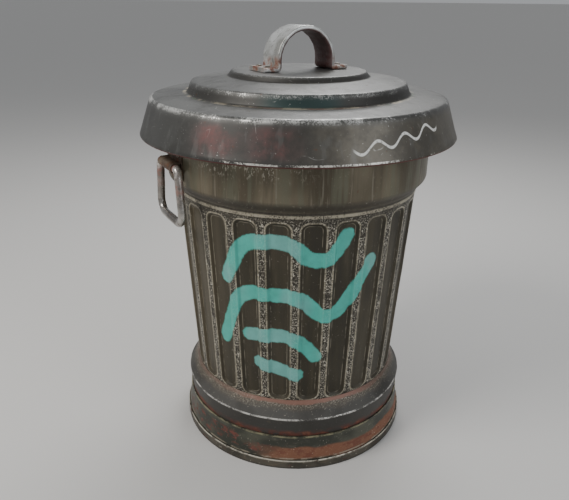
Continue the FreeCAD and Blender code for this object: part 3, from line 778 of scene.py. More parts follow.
def skirt_recipe(flow, place):
    height = place.parts()[2]
    side = round_front(place)[1]
    broad = grain(stretched(place, 1.0, 1.5), 18, 3)
    patchy = grain(stretched(place, 1.0, 2.2), 50, 4, 0.68)
    dust = grain(place, 420, 3, 0.7)
    rising = height + (broad - 0.5) * (14 * MM) + (patchy - 0.5) * (7 * MM)
    step = height.smooth(55 * MM, 57 * MM)
    front_right = (side + (broad - 0.5) * 0.8).smooth(-0.52, 0.0)
    rust = rising.band(17 * MM, 37 * MM, 2.5 * MM) * front_right
    left_rust = rising.band(24 * MM, 48 * MM, 3 * MM) * patchy.smooth(0.52, 0.62) * (1 - front_right)
    line = height.band(16.5 * MM, 19.5 * MM, 0.8 * MM)
    ground = (tint(broad.smooth(0.4, 0.6), SKIRT_DARK, SKIRT_GREEN), 0.45, 0.35)
    shade, rough, metal = layered(ground, [
        (patchy.smooth(0.54, 0.70) * 0.5, colour(0.105, 0.100, 0.078), 0.5, 0.3),
        (step * (patchy + dust * 0.3).smooth(0.56, 0.76) * 0.85, colour(0.33, 0.31, 0.19), 0.4, 0.5),
        (rust * 0.85, RUST_ORANGE, 0.75, 0.05),
        (rust * patchy.smooth(0.48, 0.60) * 0.6, RUST_RED, 0.8, 0.0),
        (rust * dust.smooth(0.56, 0.66) * 0.4, colour(0.33, 0.19, 0.11), 0.7, 0.1),
        (left_rust * 0.8, colour(0.17, 0.045, 0.032), 0.75, 0.0),
        (line * patchy.smooth(0.42, 0.58) * 0.8, colour(0.40, 0.35, 0.27), 0.4, 0.5),
        (fleck(place, 320, 0.06) * 0.5, CHIP_BRIGHT, 0.4, 0.6),
    ])
    relief = broad * (0.5 * MM) + dust * (0.07 * MM) + patchy * (0.18 * MM)
    return shade, rough + (dust - 0.5) * 0.16, metal, relief


def hoop_recipe(flow, place):
    height = place.parts()[2]
    broad = grain(place, 20, 3)
    patchy = grain(stretched(place, 1.0, 2.2), 55, 4, 0.66)
    dust = grain(place, 420, 3, 0.7)
    crest = height.smooth(12.5 * MM, 15 * MM)
    foot = 1 - height.smooth(1 * MM, 5 * MM)
    ground = (tint(broad.smooth(0.4, 0.6), HOOP_DARK, HOOP_BROWN), 0.45, 0.4)
    shade, rough, metal = layered(ground, [
        (patchy.smooth(0.54, 0.66) * 0.5, BASE_TAN, 0.45, 0.5),
        (patchy.smooth(0.42, 0.32) * 0.6, RUST_RED, 0.8, 0.0),
        (crest * (patchy + dust * 0.4).smooth(0.55, 0.75), CHIP_BRIGHT, 0.35, 0.7),
        (fleck(place, 260, 0.07) * 0.6, CHIP_BRIGHT, 0.35, 0.7),
        (foot * 0.7, BASE_DARK, 0.7, 0.1),
    ])
    relief = broad * (0.4 * MM) + dust * (0.07 * MM) + patchy * (0.1 * MM)
    return shade, rough + (dust - 0.5) * 0.16, metal, relief


base_steel = new_steel("base_steel", base_recipe)
skirt_steel = new_steel("skirt_steel", skirt_recipe)
hoop_steel = new_steel("hoop_steel", hoop_recipe)

# %% Spin the base ring, the skirt and the hoop
BASE_SHEET = 1.5 * MM
HOOP_SHEET = 2.5 * MM
GROOVE_RADIUS, EDGE_RADIUS, EDGE_BEND = 188 * MM, 191.6 * MM, 1.6 * MM
base_corners = [(GROOVE_RADIUS, base_low), (EDGE_RADIUS, BASE_EDGE, EDGE_BEND),
                (drum_radius(base_high) + LAP_GAP + BASE_SHEET / 2, base_high)]
base = spun_sheet("flared_base", softened(base_corners, 3 * MM), BASE_SHEET, shape=push_in)
finish_piece(base, base_steel, "can", "base_steel", "base_ring")

skirt_low, skirt_high = foot_of("foot_skirt"), top_of("foot_skirt")
SKIRT_FOOT_RADIUS, SKIRT_TOP_RADIUS = 194.5 * MM, 190 * MM
skirt_corners = [(SKIRT_FOOT_RADIUS, skirt_low), (SKIRT_FOOT_RADIUS, 17 * MM, 6 * MM),
                 (SKIRT_TOP_RADIUS, 52 * MM, 3 * MM), (SKIRT_TOP_RADIUS, skirt_high)]
skirt = spun_sheet("foot_skirt_sheet", softened(skirt_corners, 3 * MM), BASE_SHEET)
finish_piece(skirt, skirt_steel, "can", "base_steel", "foot_skirt")

hoop_radius, hoop_high = radius_of("foot_hoop"), top_of("foot_hoop")
HOOP_FOOT_ROUND, HOOP_TOP_ROUND, HOOP_TOP_DROP = 0.5 * MM, 0.7 * MM, 0.8 * MM
hoop_corners = [(hoop_radius - HOOP_FOOT_ROUND, 0), (hoop_radius, HOOP_FOOT_ROUND),
                (hoop_radius, hoop_high - HOOP_TOP_DROP), (hoop_radius - HOOP_TOP_ROUND, hoop_high)]
hoop = spun_sheet("foot_hoop_band", softened(hoop_corners, 3 * MM), HOOP_SHEET - HOOP_TOP_ROUND)
finish_piece(hoop, hoop_steel, "can", "hoop_steel", "foot_hoop")

# %% [markdown]
# ## The lid
# The lid is one spinning: a steep skirt with a wired hem, a round shoulder, and two steps up to a
# flat crown that carries the handle. The treads carry dust. The lid is painted lighter on the left,
# the treads get painted shade towards the right, and the risers are painted dark as shade. Every
# outer corner is chipped to bright zinc, and the chips on the shoulder are brighter towards the
# left and the front, as a painted highlight. The hem carries a broken painted highlight with some
# chips, brightest at the front. Dirt lies in the foot of each step, and the foot of the lower step
# also carries a broken painted highlight. The skirt turns olive-brown to the right, with a painted
# sheen there. The chalk line on the skirt is a plain wave and the reddish smear is a plain smear.

# %% Lid steel
LID_GREY = colour(0.098, 0.098, 0.094)
LID_PALE = colour(0.160, 0.160, 0.152)
LID_DARK = colour(0.034, 0.032, 0.028)
# Olive-brown of the skirt's film, made light enough to stand in for a painted sheen.
LID_OLIVE_SHEEN = colour(0.118, 0.104, 0.080)
LID_WHITE = colour(0.62, 0.62, 0.59)
TEAL = colour(0.020, 0.058, 0.056)
# HEM_WHITE paints the hem's highlight and chips; HEM_RED is the rust line under it.
HEM_WHITE, HEM_RED = colour(0.70, 0.68, 0.62), colour(0.09, 0.016, 0.012)
STEP_TWO_TOP, STEP_TWO_BASE = 104 * MM, 110 * MM
STEP_ONE_TOP, STEP_ONE_BASE = 166.5 * MM, 173 * MM
LID_SHOULDER = 229 * MM
CHALK_HEIGHT = 544 * MM
CHALK_WAVES = 34
CHALK_CLIMB = 30 * MM


def lid_recipe(flow, place):
    across, back, height = place.parts()
    radius = flow.maths("SQRT", across * across + back * back)
    turn, side = round_front(place)
    broad = grain(place, 9, 3)
    patchy = grain(place, 38, 4, 0.65)
    dust = grain(place, 380, 3, 0.7)
    grit = grain(place, GRIT, 2, 0.7)
    streak = grain(stretched(place, 1.0, 0.12), 60, 3, 0.6)
    skirt = radius.smooth(LID_SHOULDER - 1 * MM, LID_SHOULDER + 4 * MM)
    tread = 1 - skirt
    risers = (radius.band(STEP_ONE_TOP + 1 * MM, STEP_ONE_BASE + 1 * MM, 2 * MM)
              + radius.band(STEP_TWO_TOP + 1 * MM, STEP_TWO_BASE + 1 * MM, 2 * MM))
    corners = (radius.band(STEP_ONE_TOP - 2.5 * MM, STEP_ONE_TOP + 1.5 * MM, 1 * MM)
               + radius.band(STEP_TWO_TOP - 2 * MM, STEP_TWO_TOP + 1 * MM, 1 * MM))
    shoulder = radius.band(LID_SHOULDER - 4 * MM, LID_SHOULDER + 1 * MM, 1.2 * MM)
    left = 1 - side.smooth(-1.1, -0.36)
    front = turn.band(-0.35, 0.45, 0.2)
    foot_one = radius.band(STEP_ONE_BASE + 1 * MM, STEP_ONE_BASE + 6 * MM, 2 * MM)
    foot_two = radius.band(STEP_TWO_BASE + 1 * MM, STEP_TWO_BASE + 5 * MM, 2 * MM)
    hem = height.band(lid_low + 2.4 * MM, lid_low + 4.8 * MM, 0.5 * MM)
    wave = flow.maths("SINE", turn * CHALK_WAVES) * (6 * MM)
    chalk = abs(height - CHALK_HEIGHT - wave - (turn - 0.62) * CHALK_CLIMB)
    chalk = (1 - chalk.smooth(1.2 * MM, 2.3 * MM)) * turn.band(0.28, 0.90, 0.015)
    skirt_outside = skirt * (1 - mark(flow, "inside"))
    smear = turn.band(-0.60, -0.36, 0.10) + turn.band(-0.24, -0.04, 0.10)
    smear = smear * height.band(524 * MM, 560 * MM, 9 * MM)
    smear = smear * (patchy * 0.7 + broad * 0.4).smooth(0.38, 0.72)
    # Painted light: the lid is painted lighter on the left.
    ground = (tint((broad + left * 0.12).smooth(0.36, 0.66), LID_GREY, LID_PALE), 0.40, 0.55)
    # The skirt turns olive-brown and lighter towards the right: film, with a painted sheen.
    olive_and_sheen = (side + (broad - 0.5)).smooth(-0.25, 0.35)
    shade, rough, metal = layered(ground, [
        (skirt * 0.85, tint(olive_and_sheen, colour(0.068, 0.067, 0.062), LID_OLIVE_SHEEN), 0.38, 0.5),
        (skirt * (broad * 0.6 + patchy * 0.5).smooth(0.60, 0.46) * 0.45, LID_DARK, 0.42, 0.4),
        (skirt * streak.smooth(0.54, 0.68) * 0.35, LID_PALE, 0.36, 0.6),
        (tread * patchy.smooth(0.50, 0.38) * 0.35, LID_DARK, 0.45, 0.5),
        # Painted shade: the treads are painted darker towards the right.
        (tread * side.smooth(0.1, 0.95) * 0.35, LID_DARK, 0.45, 0.5),
        # Painted shade: the risers are painted dark.
        (risers * (0.80 + patchy * 0.3).smaller(1.0), LID_DARK, 0.5, 0.4),
        (radius.band(STEP_ONE_TOP, STEP_ONE_BASE + 5 * MM, 3 * MM) * turn.band(-0.28, 0.30, 0.12) * 0.6,
         TEAL, 0.35, 0.3),
        (foot_two * (patchy + left * 0.2).smooth(0.56, 0.74) * 0.5, colour(0.24, 0.23, 0.09), 0.7, 0.0),
        # Painted highlight: a broken cream line at the foot of the lower step.
        (foot_one * (patchy + grit * 0.3).smooth(0.60, 0.76) * 0.8, colour(0.46, 0.40, 0.29), 0.5, 0.2),
        (foot_one * front * patchy.smooth(0.54, 0.46) * 0.5, colour(0.26, 0.13, 0.085), 0.7, 0.0),
        (foot_one * patchy.smooth(0.42, 0.34) * 0.5, colour(0.10, 0.15, 0.075), 0.7, 0.0),
        (scratches(place, 12, 0.006) * patchy.smooth(0.54, 0.64) * 0.25, LID_WHITE, 0.3, 0.8),
        (fleck(place, 300, 0.035) * 0.45, LID_WHITE, 0.35, 0.7),
        (fleck(place, 70, 0.01) * 0.5, RUST_BROWN, 0.8, 0.0),
        (corners * (patchy * 0.6 + grit * 0.7).smooth(0.66, 0.82) * 0.6, LID_WHITE, 0.3, 0.8),
        # Chips on the shoulder, with a painted highlight that makes them brighter on the left and the
        # front.
        (shoulder * (patchy * 0.7 + grit * 0.6 + left * 0.10 + front * 0.08).smooth(0.68, 0.82),
         LID_WHITE, 0.3, 0.5),
        (skirt_outside * smear * 0.55, colour(0.20, 0.040, 0.036), 0.6, 0.1),
        (skirt_outside * chalk * dust.smooth(0.30, 0.46) * 0.95, colour(0.86, 0.86, 0.82), 0.8, 0.0),
        # The hem's broken bright line is a painted highlight, brightest at the front, with some chips.
        (hem * (patchy * 0.8 + grit * 0.5 + front * 0.14).smooth(0.70, 0.84), HEM_WHITE, 0.3, 0.4),
        ((1 - height.smooth(lid_low + 1.6 * MM, lid_low + 2.4 * MM)) * 0.9, HEM_RED, 0.7, 0.1),
    ])
    relief = broad * (0.8 * MM) + dust * (0.05 * MM) + patchy * (0.15 * MM)
    return shade, rough + (dust - 0.5) * 0.14, metal, relief


lid_steel = new_steel("lid_steel", lid_recipe)

# %% Spin the lid
LID_SHEET = 1 * MM
HEM_RADIUS = 2.6 * MM
HEM_START, HEM_TURN = 100, 260
LID_SHOULDER_BEND, STEP_BEND = 7 * MM, 4 * MM
CROWN_RISE, STEP_ONE_RISE, TREAD_RISE, STEP_TWO_RISE = 5 * MM, 16.5 * MM, 7 * MM, 8 * MM
step_two_low = lid_top - STEP_TWO_RISE
step_one_high = step_two_low - TREAD_RISE
step_one_low = step_one_high - STEP_ONE_RISE
lid_corners = roll((lid_radius - HEM_RADIUS, lid_low + HEM_RADIUS), HEM_RADIUS, HEM_START, HEM_TURN) + [
    (LID_SHOULDER, step_one_low - CROWN_RISE, LID_SHOULDER_BEND),
    (STEP_ONE_BASE, step_one_low, STEP_BEND), (STEP_ONE_TOP, step_one_high, STEP_BEND),
    (STEP_TWO_BASE, step_two_low, STEP_BEND), (STEP_TWO_TOP, lid_top, STEP_BEND), (0, lid_top)]


def still_crown(radius, height):
    """Dents on the skirt and the steps, but none on the hem or under the handle."""
    return min(1, max(0, (radius - 95 * MM) / (30 * MM))) * min(1, (height - lid_low) / (12 * MM))


lid = spun_sheet("stepped_lid", softened(lid_corners, 5 * MM), LID_SHEET,
                 shape=lambda points: push_in(points, seed=4.0, calm=still_crown))
finish_piece(lid, lid_steel, "lid", "lid_steel", "lid_shell")

# %% [markdown]
# ## Bars and straps as a section along a path
# The bails are round rod and the lid's handle is thick strap. Both are one section carried along a
# flat path. `carried` sets the section square to the path at each point, and joins the rings.

# %% Carry a section along a path
def carried(name, path, section, across, closed, swell=None):
    """The section, as (along across, outwards) points, carried along a flat path of 3-D points.
    swell(i) gives a scale for the section's two directions at point i."""
    path = np.array(path, float)
    count, sides = len(path), len(section)
    across = np.array(across, float)
    ahead = np.roll(path, -1, axis=0) - np.roll(path, 1, axis=0)
    if not closed:
        ahead[0], ahead[-1] = path[1] - path[0], path[-1] - path[-2]
    ahead /= np.linalg.norm(ahead, axis=1)[:, None]
    points, faces = [], []
    for i in range(count):
        out = np.cross(across, ahead[i])
        wide, thick = swell(i) if swell else (1, 1)
        points += [path[i] + across * (a * wide) + out * (b * thick) for a, b in section]
    for i in range(count if closed else count - 1):
        low, high = i * sides, (i + 1) % count * sides
        for j in range(sides):
            k = (j + 1) % sides
            faces.append((low + j, low + k, high + k, high + j))
    if not closed:
        faces += [tuple(range(sides)), tuple(range((count - 1) * sides, count * sides))]
    piece = mesh_piece(name, points, faces)
    shell = bmesh.new()
    shell.from_mesh(piece.data)
    bmesh.ops.recalc_face_normals(shell, faces=shell.faces)
    shell.to_mesh(piece.data)
    shell.free()
    return piece


# %% [markdown]
# ## The lid's strap handle
# A strap of pale galvanised steel is bent to an arch, and its ends turn out into feet that were
# hammered flat on the lid. The hammering spread them a little and left them lumpy. Rust creeps up
# from the feet, where water stands against the lid.

# %% Handle steel
STRAP_THICK = 7 * MM
STRAP_HALF_SPAN = 50 * MM
STRAP_MIDDLE = STRAP_HALF_SPAN - STRAP_THICK / 2
ARCH_CENTRE = top_of("lid_handle") - STRAP_HALF_SPAN
STRAP_PALE = colour(0.60, 0.61, 0.60)
STRAP_GREY = colour(0.30, 0.30, 0.28)


def strap_recipe(flow, place):
    across, height = place.parts()[::2]
    broad = grain(place, 22, 3)
    patchy = grain(place, 75, 4, 0.65)
    dust = grain(place, 520, 3, 0.7)
    low = 1 - (height + (broad - 0.5) * (30 * MM)).smooth(lid_top + 8 * MM, lid_top + 24 * MM)
    rise = (height - ARCH_CENTRE).larger(0)
    reach = flow.maths("SQRT", across * across + rise * rise)
    # Rust on the strap's inner face, painted dark as shade under the arch.
    inner_rust_and_shade = 1 - reach.smooth(STRAP_MIDDLE - 2 * MM, STRAP_MIDDLE)
    ground = (tint(broad.smooth(0.38, 0.62), STRAP_GREY, STRAP_PALE), 0.3, 0.45)
    shade, rough, metal = layered(ground, [
        (patchy.smooth(0.56, 0.68) * 0.6, colour(0.60, 0.60, 0.57), 0.25, 0.85),
        (scratches(stretched(place, 1.0, 0.4), 26, 0.012) * 0.5, colour(0.62, 0.61, 0.57), 0.25, 0.9),
        (patchy.smooth(0.45, 0.36) * 0.5, colour(0.11, 0.10, 0.085), 0.5, 0.4),
        (low * patchy.smooth(0.40, 0.56) * 0.85, RUST_ORANGE, 0.75, 0.05),
        (low * (patchy + dust * 0.3).smooth(0.68, 0.76) * 0.8, RUST_RED, 0.8, 0.0),
        (inner_rust_and_shade * (0.5 + patchy * 0.7).smaller(0.9), colour(0.085, 0.026, 0.024), 0.55, 0.2),
        (fleck(place, 210, 0.04) * 0.7, RUST_BROWN, 0.8, 0.0),
    ])
    relief = broad * (0.5 * MM) + dust * (0.05 * MM) + patchy * (0.2 * MM)
    return shade, rough + (dust - 0.5) * 0.14, metal, relief


strap_steel = new_steel("strap_steel", strap_recipe)

# %% Bend the strap
STRAP_ROUND = 2.0 * MM
strap_low, strap_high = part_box("lid_handle")
strap_half_width = strap_high[1]
strap_end = strap_high[0]
seat, crown = strap_low[2] + STRAP_THICK / 2, strap_high[2] - STRAP_THICK / 2
FOOT_BEND = 3 * MM
arch_bend = 0.97 * STRAP_MIDDLE
strap_corners = [(-strap_end, seat), (-STRAP_MIDDLE, seat, FOOT_BEND), (-STRAP_MIDDLE, crown, arch_bend),
                 (STRAP_MIDDLE, crown, arch_bend), (STRAP_MIDDLE, seat, FOOT_BEND), (strap_end, seat)]
strap_line = softened(strap_corners, 2.5 * MM)
strap_path = [(x, 0, z) for x, z in strap_line]


def round_slab(half_width, half_thick, edge):
    """A flat section with round edges."""
    points = []
    for a, b, start in ((1, 1, 0), (-1, 1, 90), (-1, -1, 180), (1, -1, 270)):
        middle = (a * (half_width - edge), b * (half_thick - edge))
        for turn in (0, 30, 60, 90):
            angle = radians(start + turn)
            points.append((middle[0] + edge * cos(angle), middle[1] + edge * sin(angle)))
    return points


def hammered(i):
    """The feet are a little wider and thinner than the strap, and uneven."""
    reach = abs(strap_line[i][0]) - STRAP_MIDDLE
    foot = min(1, max(0, reach / (8 * MM)))
    uneven = noise.noise(Vector((strap_line[i][0] * 130, 0, 2)))
    return 1 + foot * (0.05 + 0.05 * uneven), 1 - foot * 0.10 + foot * 0.12 * uneven


strap = carried("strap_handle", strap_path, round_slab(strap_half_width, STRAP_THICK / 2, STRAP_ROUND),
                (0, 1, 0), False, hammered)
crease(strap, 40)
finish_piece(strap, strap_steel, "lid", "strap_steel", "lid_handle")

# %% [markdown]
# ## The side bails
# Each bail is one rod bent to a narrow-topped loop, whose top bar turns in the barrel of its
# bracket. The grip is polished by hands. The upper legs, which nobody touches, carry pink rust,
# and the two top corners carry a painted highlight.

# %% Bail steel
BAIL_TOP_HALF = 38 * MM
BAIL_BRIGHT = colour(0.50, 0.48, 0.45)
BAIL_GREY = colour(0.22, 0.20, 0.18)
bail_low, bail_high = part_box("side_handle_right")
ROD = (bail_high[0] - bail_low[0]) / 2


def bail_recipe(flow, place):
    back, height = place.parts()[1:]
    patchy = grain(place, 85, 4, 0.65)
    broad = grain(place, 30, 3)
    dust = grain(place, 520, 3, 0.7)
    upper = (height + (broad - 0.5) * (45 * MM)).smooth(bail_low[2] + 38 * MM, bail_low[2] + 62 * MM)
    # Painted highlight: the two top corners of the loop are painted bright.
    elbow_highlight = abs(back).smooth(BAIL_TOP_HALF - 8 * MM, BAIL_TOP_HALF - 2 * MM) * height.smooth(
        bail_high[2] - 24 * MM, bail_high[2] - 12 * MM)
    ground = (tint(broad.smooth(0.40, 0.62), BAIL_GREY, BAIL_BRIGHT), 0.24, 0.85)
    shade, rough, metal = layered(ground, [
        (patchy.smooth(0.46, 0.36) * 0.6, colour(0.13, 0.095, 0.075), 0.5, 0.4),
        (upper * patchy.smooth(0.40, 0.56) * 0.75, colour(0.30, 0.135, 0.105), 0.55, 0.2),
        (upper * patchy.smooth(0.56, 0.66) * 0.7, RUST_RED, 0.75, 0.0),
        (elbow_highlight * patchy.smooth(0.36, 0.50) * 0.85, colour(0.72, 0.69, 0.64), 0.22, 0.6),
        (fleck(place, 240, 0.05) * 0.7, colour(0.75, 0.72, 0.66), 0.2, 0.9),
    ])
    relief = dust * (0.04 * MM) + patchy * (0.15 * MM)
    return shade, rough + (dust - 0.5) * 0.12, metal, relief


bail_steel = new_steel("bail_steel", bail_recipe)

# %% Bend the bails
bail_low_half = bail_high[1] - ROD
pivot_height, grip_height = bail_high[2] - ROD, bail_low[2] + ROD
ROD_SIDES = 20
PIVOT_BEND, GRIP_BEND = 8 * MM, 19 * MM
bail_corners = [(-BAIL_TOP_HALF, pivot_height, PIVOT_BEND), (BAIL_TOP_HALF, pivot_height, PIVOT_BEND),
                (bail_low_half, grip_height, GRIP_BEND), (-bail_low_half, grip_height, GRIP_BEND)]
rod_section = [(ROD * cos(a), ROD * sin(a)) for a in np.linspace(0, 2 * pi, ROD_SIDES, endpoint=False)]
for side in ("left", "right"):
    low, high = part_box("side_handle_" + side)
    plane = (low[0] + high[0]) / 2
    loop = [(plane, y, z) for y, z in softened(bail_corners, 4 * MM, closed=True)]
    worn = [1 - 0.025 * (0.5 + noise.noise(Vector(point) * 60)) for point in loop]
    bail = carried("bail_" + side, loop, rod_section, (1, 0, 0), True, lambda i: (worn[i], worn[i]))
    finish_piece(bail, bail_steel, "handle_" + side, "bail_steel", "side_handle_" + side)

# %% [markdown]
# ## Rivets
# Every rivet is the same: a round head outside, a shank through the sheets and a flatter closed
# end inside. The places follow the brackets and the handle's feet. So Geometry Nodes build one
# rivet and stand it on a few points, each turned to the direction that its point names.

# %% Build the rivet tree
HEAD_RADIUS, HEAD_RISE = 4.6 * MM, 2.4 * MM
TAIL_RADIUS, TAIL_RISE = 4.0 * MM, 1.7 * MM
SHANK_RADIUS = 2.6 * MM


def rivet_tree():
    tree = bpy.data.node_groups.new("rivets", "GeometryNodeTree")
    tree.interface.new_socket("Places", in_out="INPUT", socket_type="NodeSocketGeometry")
    tree.interface.new_socket("Grip", in_out="INPUT", socket_type="NodeSocketFloat")
    tree.interface.new_socket("Finish", in_out="INPUT", socket_type="NodeSocketMaterial")
    tree.interface.new_socket("Rivets", in_out="OUTPUT", socket_type="NodeSocketGeometry")
    flow = Flow(tree)
    entry = tree.nodes.new("NodeGroupInput")
    places, grip, steel = [Flow(tree, entry.outputs[name]) for name in ("Places", "Grip", "Finish")]

    def dome(radius, rise, height):
        ball_size = {"Segments": 24, "Rings": 12, "Radius": radius}
        ball = flow.node("GeometryNodeMeshUVSphere", None, ball_size)
        lift = flow.node("ShaderNodeCombineXYZ", None, {0: 0.0, 1: 0.0, 2: height})
        return flow.node("GeometryNodeTransform", None,
                         {"Geometry": ball, "Translation": lift, "Scale": (1, 1, rise / radius)})

    shank_size = {"Vertices": 16, "Radius": SHANK_RADIUS, "Depth": grip}
    shank = flow.node("GeometryNodeMeshCylinder", None, shank_size)
    middle = flow.node("ShaderNodeCombineXYZ", None, {0: 0.0, 1: 0.0, 2: grip * -0.5})
    shank = flow.node("GeometryNodeTransform", None, {"Geometry": shank, "Translation": middle})
    joined = tree.nodes.new("GeometryNodeJoinGeometry")
    for part in (dome(HEAD_RADIUS, HEAD_RISE, 0.0), shank, dome(TAIL_RADIUS, TAIL_RISE, grip * -1)):
        tree.links.new(part.socket, joined.inputs[0])
    vector = {"data_type": "FLOAT_VECTOR"}
    facing = flow.node("GeometryNodeInputNamedAttribute", vector, {"Name": "facing"})
    turned = flow.node("FunctionNodeAlignRotationToVector", {"axis": "Z"}, {"Vector": facing})
    stood = flow.node("GeometryNodeInstanceOnPoints", None,
                      {"Points": places, "Instance": Flow(tree, joined.outputs[0]), "Rotation": turned})
    whole = flow.node("GeometryNodeRealizeInstances", None, {"Geometry": stood})
    smooth = flow.node("GeometryNodeSetShadeSmooth", None, {"Geometry": whole})
    steeled = flow.node("GeometryNodeSetMaterial", None, {"Geometry": smooth, "Material": steel})
    leave = tree.nodes.new("NodeGroupOutput")
    tree.links.new(steeled.socket, leave.inputs[0])
    return tree


# %% Bracket and rivet steel
BRACKET_DARK, BRACKET_BROWN = colour(0.075, 0.045, 0.028), colour(0.150, 0.115, 0.080)
RIVET_DARK, RIVET_PALE = colour(0.085, 0.070, 0.052), colour(0.24, 0.22, 0.185)


def bracket_recipe(flow, place):
    broad = grain(place, 34, 3)
    patchy = grain(place, 90, 4, 0.68)
    dust = grain(place, 520, 3, 0.7)
    ground = (tint(broad.smooth(0.4, 0.62), BRACKET_DARK, BRACKET_BROWN), 0.6, 0.2)
    shade, rough, metal = layered(ground, [
        (patchy.smooth(0.50, 0.64) * 0.8, RUST_BROWN, 0.8, 0.0),
        (patchy.smooth(0.42, 0.34) * 0.7, colour(0.21, 0.19, 0.155), 0.4, 0.6),
        ((patchy + dust * 0.4).smooth(0.84, 0.92) * 0.7, RUST_ORANGE, 0.85, 0.0),
    ])
    return shade, rough + (dust - 0.5) * 0.16, metal, dust * (0.08 * MM) + patchy * (0.2 * MM)


def rivet_recipe(flow, place):
    patchy = grain(place, 160, 3, 0.65)
    dust = grain(place, 600, 3, 0.7)
    ground = (tint(patchy.smooth(0.42, 0.6), RIVET_DARK, RIVET_PALE), 0.4, 0.6)
    shade, rough, metal = layered(ground, [(patchy.smooth(0.62, 0.68) * 0.8, RUST_BROWN, 0.8, 0.0)])
    return shade, rough + (dust - 0.5) * 0.16, metal, dust * (0.06 * MM) + patchy * (0.1 * MM)


bracket_steel = new_steel("bracket_steel", bracket_recipe)
rivet_steel = new_steel("rivet_steel", rivet_recipe)

# %% Set the rivets
rivets = rivet_tree()


def set_rivets(name, places, facings, grip, body, *nodes):
    piece = mesh_piece(name, places, [])
    facing = piece.data.attributes.new("facing", "FLOAT_VECTOR", "POINT")
    facing.data.foreach_set("vector", np.array(facings, np.float32).ravel())
    run_tree(piece, rivets, {"Grip": grip, "Finish": rivet_steel})
    finish_piece(piece, rivet_steel, body, "rivet_steel", *nodes)


bracket_low, bracket_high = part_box("bracket_rivets_right")
rivet_rows = (bracket_low[2] + HEAD_RADIUS, bracket_high[2] - HEAD_RADIUS)
BRACKET_RIVET_TURN = radians(5.2)
BRACKET_SHEET = 1.4 * MM
BRACKET_FACE = collar_inside + COLLAR_SHEET + LAP_GAP + BRACKET_SHEET
BRACKET_GRIP, LID_GRIP = 4.65 * MM, 9.8 * MM
HEAD_SINK = 0.4 * MM
spots, facings = [], []
for side in (0, pi):
    for turn in (-BRACKET_RIVET_TURN, BRACKET_RIVET_TURN):
        for height in rivet_rows:
            facing = Vector((cos(side + turn), sin(side + turn), 0))
            spots.append((facing.x * BRACKET_FACE, facing.y * BRACKET_FACE, height))
            facings.append(facing)
set_rivets("bracket_rivet_set", spots, facings, BRACKET_GRIP, "can",
           "bracket_rivets_left", "bracket_rivets_right")

pad_low, pad_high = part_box("lid_handle_rivets_right")
reach = (pad_low[0] + pad_high[0]) / 2
spread = pad_high[1] - HEAD_RADIUS
face = strap_low[2] + STRAP_THICK
spots = [(x, y, face - HEAD_SINK) for x in (-reach, reach) for y in (-spread, spread)]
set_rivets("lid_rivet_set", spots, [(0, 0, 1)] * len(spots), LID_GRIP, "lid",
           "lid_handle_rivets_left", "lid_handle_rivets_right")

# %% [markdown]
# ## The pieces that keep their CAD shape
# The brackets, the floor, the seat ring, the backing plates and the wires are already the right
# shape, and most of them show only when the lid is off. They keep the CAD's mesh and get a finish:
# rusty brown on the brackets, and a stained, oily film on what lies inside.

# %% Steel inside the can
INSIDE_DARK, INSIDE_GREY = colour(0.045, 0.038, 0.028), colour(0.105, 0.098, 0.084)
OIL_FILM = colour(0.020, 0.016, 0.011)


def inside_recipe(flow, place):
    broad = grain(place, 12, 4)
    patchy = grain(place, 50, 4, 0.65)
    dust = grain(place, 420, 3, 0.7)
    ground = (tint(broad.smooth(0.4, 0.62), INSIDE_DARK, INSIDE_GREY), 0.4, 0.5)
    shade, rough, metal = layered(ground, [
        (broad.smooth(0.54, 0.62) * 0.7, OIL_FILM, 0.18, 0.2),
        (patchy.smooth(0.60, 0.70) * 0.7, RUST_BROWN, 0.8, 0.0),
        (fleck(place, 300, 0.05) * 0.5, CHIP_BRIGHT, 0.35, 0.7),
    ])
    return shade, rough + (dust - 0.5) * 0.14, metal, broad * (0.4 * MM) + dust * (0.05 * MM)


inside_steel = new_steel("inside_steel", inside_recipe)
KEPT = {"handle_bracket_left": bracket_steel, "handle_bracket_right": bracket_steel,
        "bracket_backing_left": bracket_steel, "bracket_backing_right": bracket_steel,
        "bottom_plate": inside_steel, "seat_ring": inside_steel, "rim_wire": inside_steel,
        "lid_rim_wire": inside_steel, "lid_handle_backing_left": strap_steel,
        "lid_handle_backing_right": strap_steel}
for name, steel in KEPT.items():
    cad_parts[name].data.materials.clear()
    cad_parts[name].data.materials.append(steel)
print(len(KEPT), "nodes keep their CAD shape")

# %% [markdown]
# ## Floor, light and camera
# A pale matt floor and large soft lights show the metal as a studio would. The brightest light is
# high on the left, a weaker one fills the right, and the world gives the sheet something pale and
# even to mirror. The camera stands to the left of the can's front and looks down on it.

# %% Floor and lights
def plain(name, shade, roughness):
    material = bpy.data.materials.new(name)
    material.use_nodes = True
    shader = material.node_tree.nodes["Principled BSDF"]
    shader.inputs["Base Color"].default_value = shade
    shader.inputs["Roughness"].default_value = roughness
    return material


FLOOR_HALF = 400.0
floor_corners = [(x * FLOOR_HALF, y * FLOOR_HALF, 0) for x, y in ((-1, -1), (1, -1), (1, 1), (-1, 1))]
floor = mesh_piece("studio_floor", floor_corners, [(0, 1, 2, 3)])
floor.data.materials.append(plain("studio_floor", colour(0.62, 0.61, 0.59), 0.9))

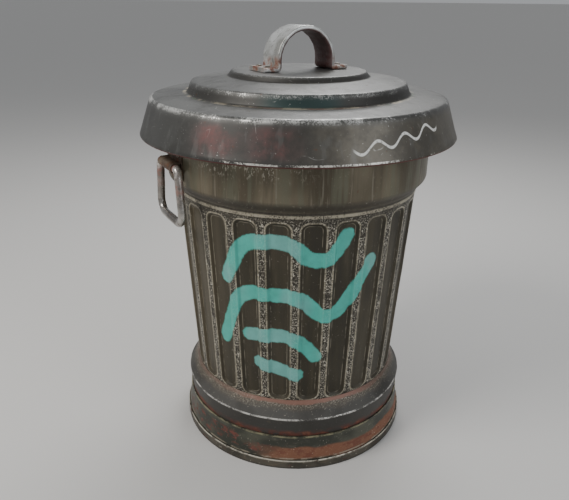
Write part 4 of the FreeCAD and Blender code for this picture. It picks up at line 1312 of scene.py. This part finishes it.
WORLD_SHADE, WORLD_STRENGTH = colour(0.80, 0.82, 0.85), 0.45
world = bpy.data.worlds.new("studio")
world.use_nodes = True
background = world.node_tree.nodes["Background"]
background.inputs["Color"].default_value = WORLD_SHADE
background.inputs["Strength"].default_value = WORLD_STRENGTH
bpy.context.scene.world = world


def soft_light(name, spot_round, size, power, shade):
    """A disc lamp at (towards the camera, to the right, up) from the can's foot, aimed at the can."""
    near_camera, right, up = spot_round
    place = towards * near_camera + rightwards * right + Vector((0, 0, up))
    data = bpy.data.lights.new(name, "AREA")
    data.shape = "DISK"
    data.size = size
    data.energy = power
    data.color = shade
    lamp = bpy.data.objects.new(name, data)
    lamp.location = place
    lamp.rotation_euler = (middle - place).to_track_quat("-Z", "Y").to_euler()
    bpy.context.collection.objects.link(lamp)


towards = Vector((sin(FRONT), -cos(FRONT), 0))
rightwards = Vector((cos(FRONT), sin(FRONT), 0))
middle = Vector((0, 0, 0.35))
soft_light("key", (0.9, -1.5, 1.9), 1.0, 34, (1.0, 0.97, 0.93))
soft_light("fill", (1.4, 1.6, 1.1), 1.4, 12, (0.93, 0.96, 1.0))
soft_light("rim", (-1.3, 0.3, 1.9), 1.0, 22, (1.0, 1.0, 1.0))
print(len(bpy.data.lights), "soft lights stand round the can")

# %% Camera
PITCH = radians(22.48)
ROLL = radians(0.60)
SENSOR_WIDTH = 36.0
LENS = 38.19
camera_data = bpy.data.cameras.new("camera")
camera_data.sensor_width = SENSOR_WIDTH
camera_data.lens = LENS
camera = bpy.data.objects.new("camera", camera_data)
bpy.context.collection.objects.link(camera)
CAMERA_AWAY, CAMERA_LEFT, CAMERA_UP = 0.970, 0.0192, 0.706
place = towards * CAMERA_AWAY - rightwards * CAMERA_LEFT + Vector((0, 0, CAMERA_UP))
looking = towards * -cos(PITCH) - Vector((0, 0, sin(PITCH)))
upwards = Vector((0, 0, cos(PITCH))) - towards * sin(PITCH)
turn = Matrix((rightwards, upwards, -looking)).transposed() @ Matrix.Rotation(ROLL, 3, "Z")
camera.matrix_world = Matrix.Translation(place) @ turn.to_4x4()
bpy.context.scene.camera = camera
print("the camera stands", CAMERA_UP, "m up and", CAMERA_AWAY, "m from the can's axis")
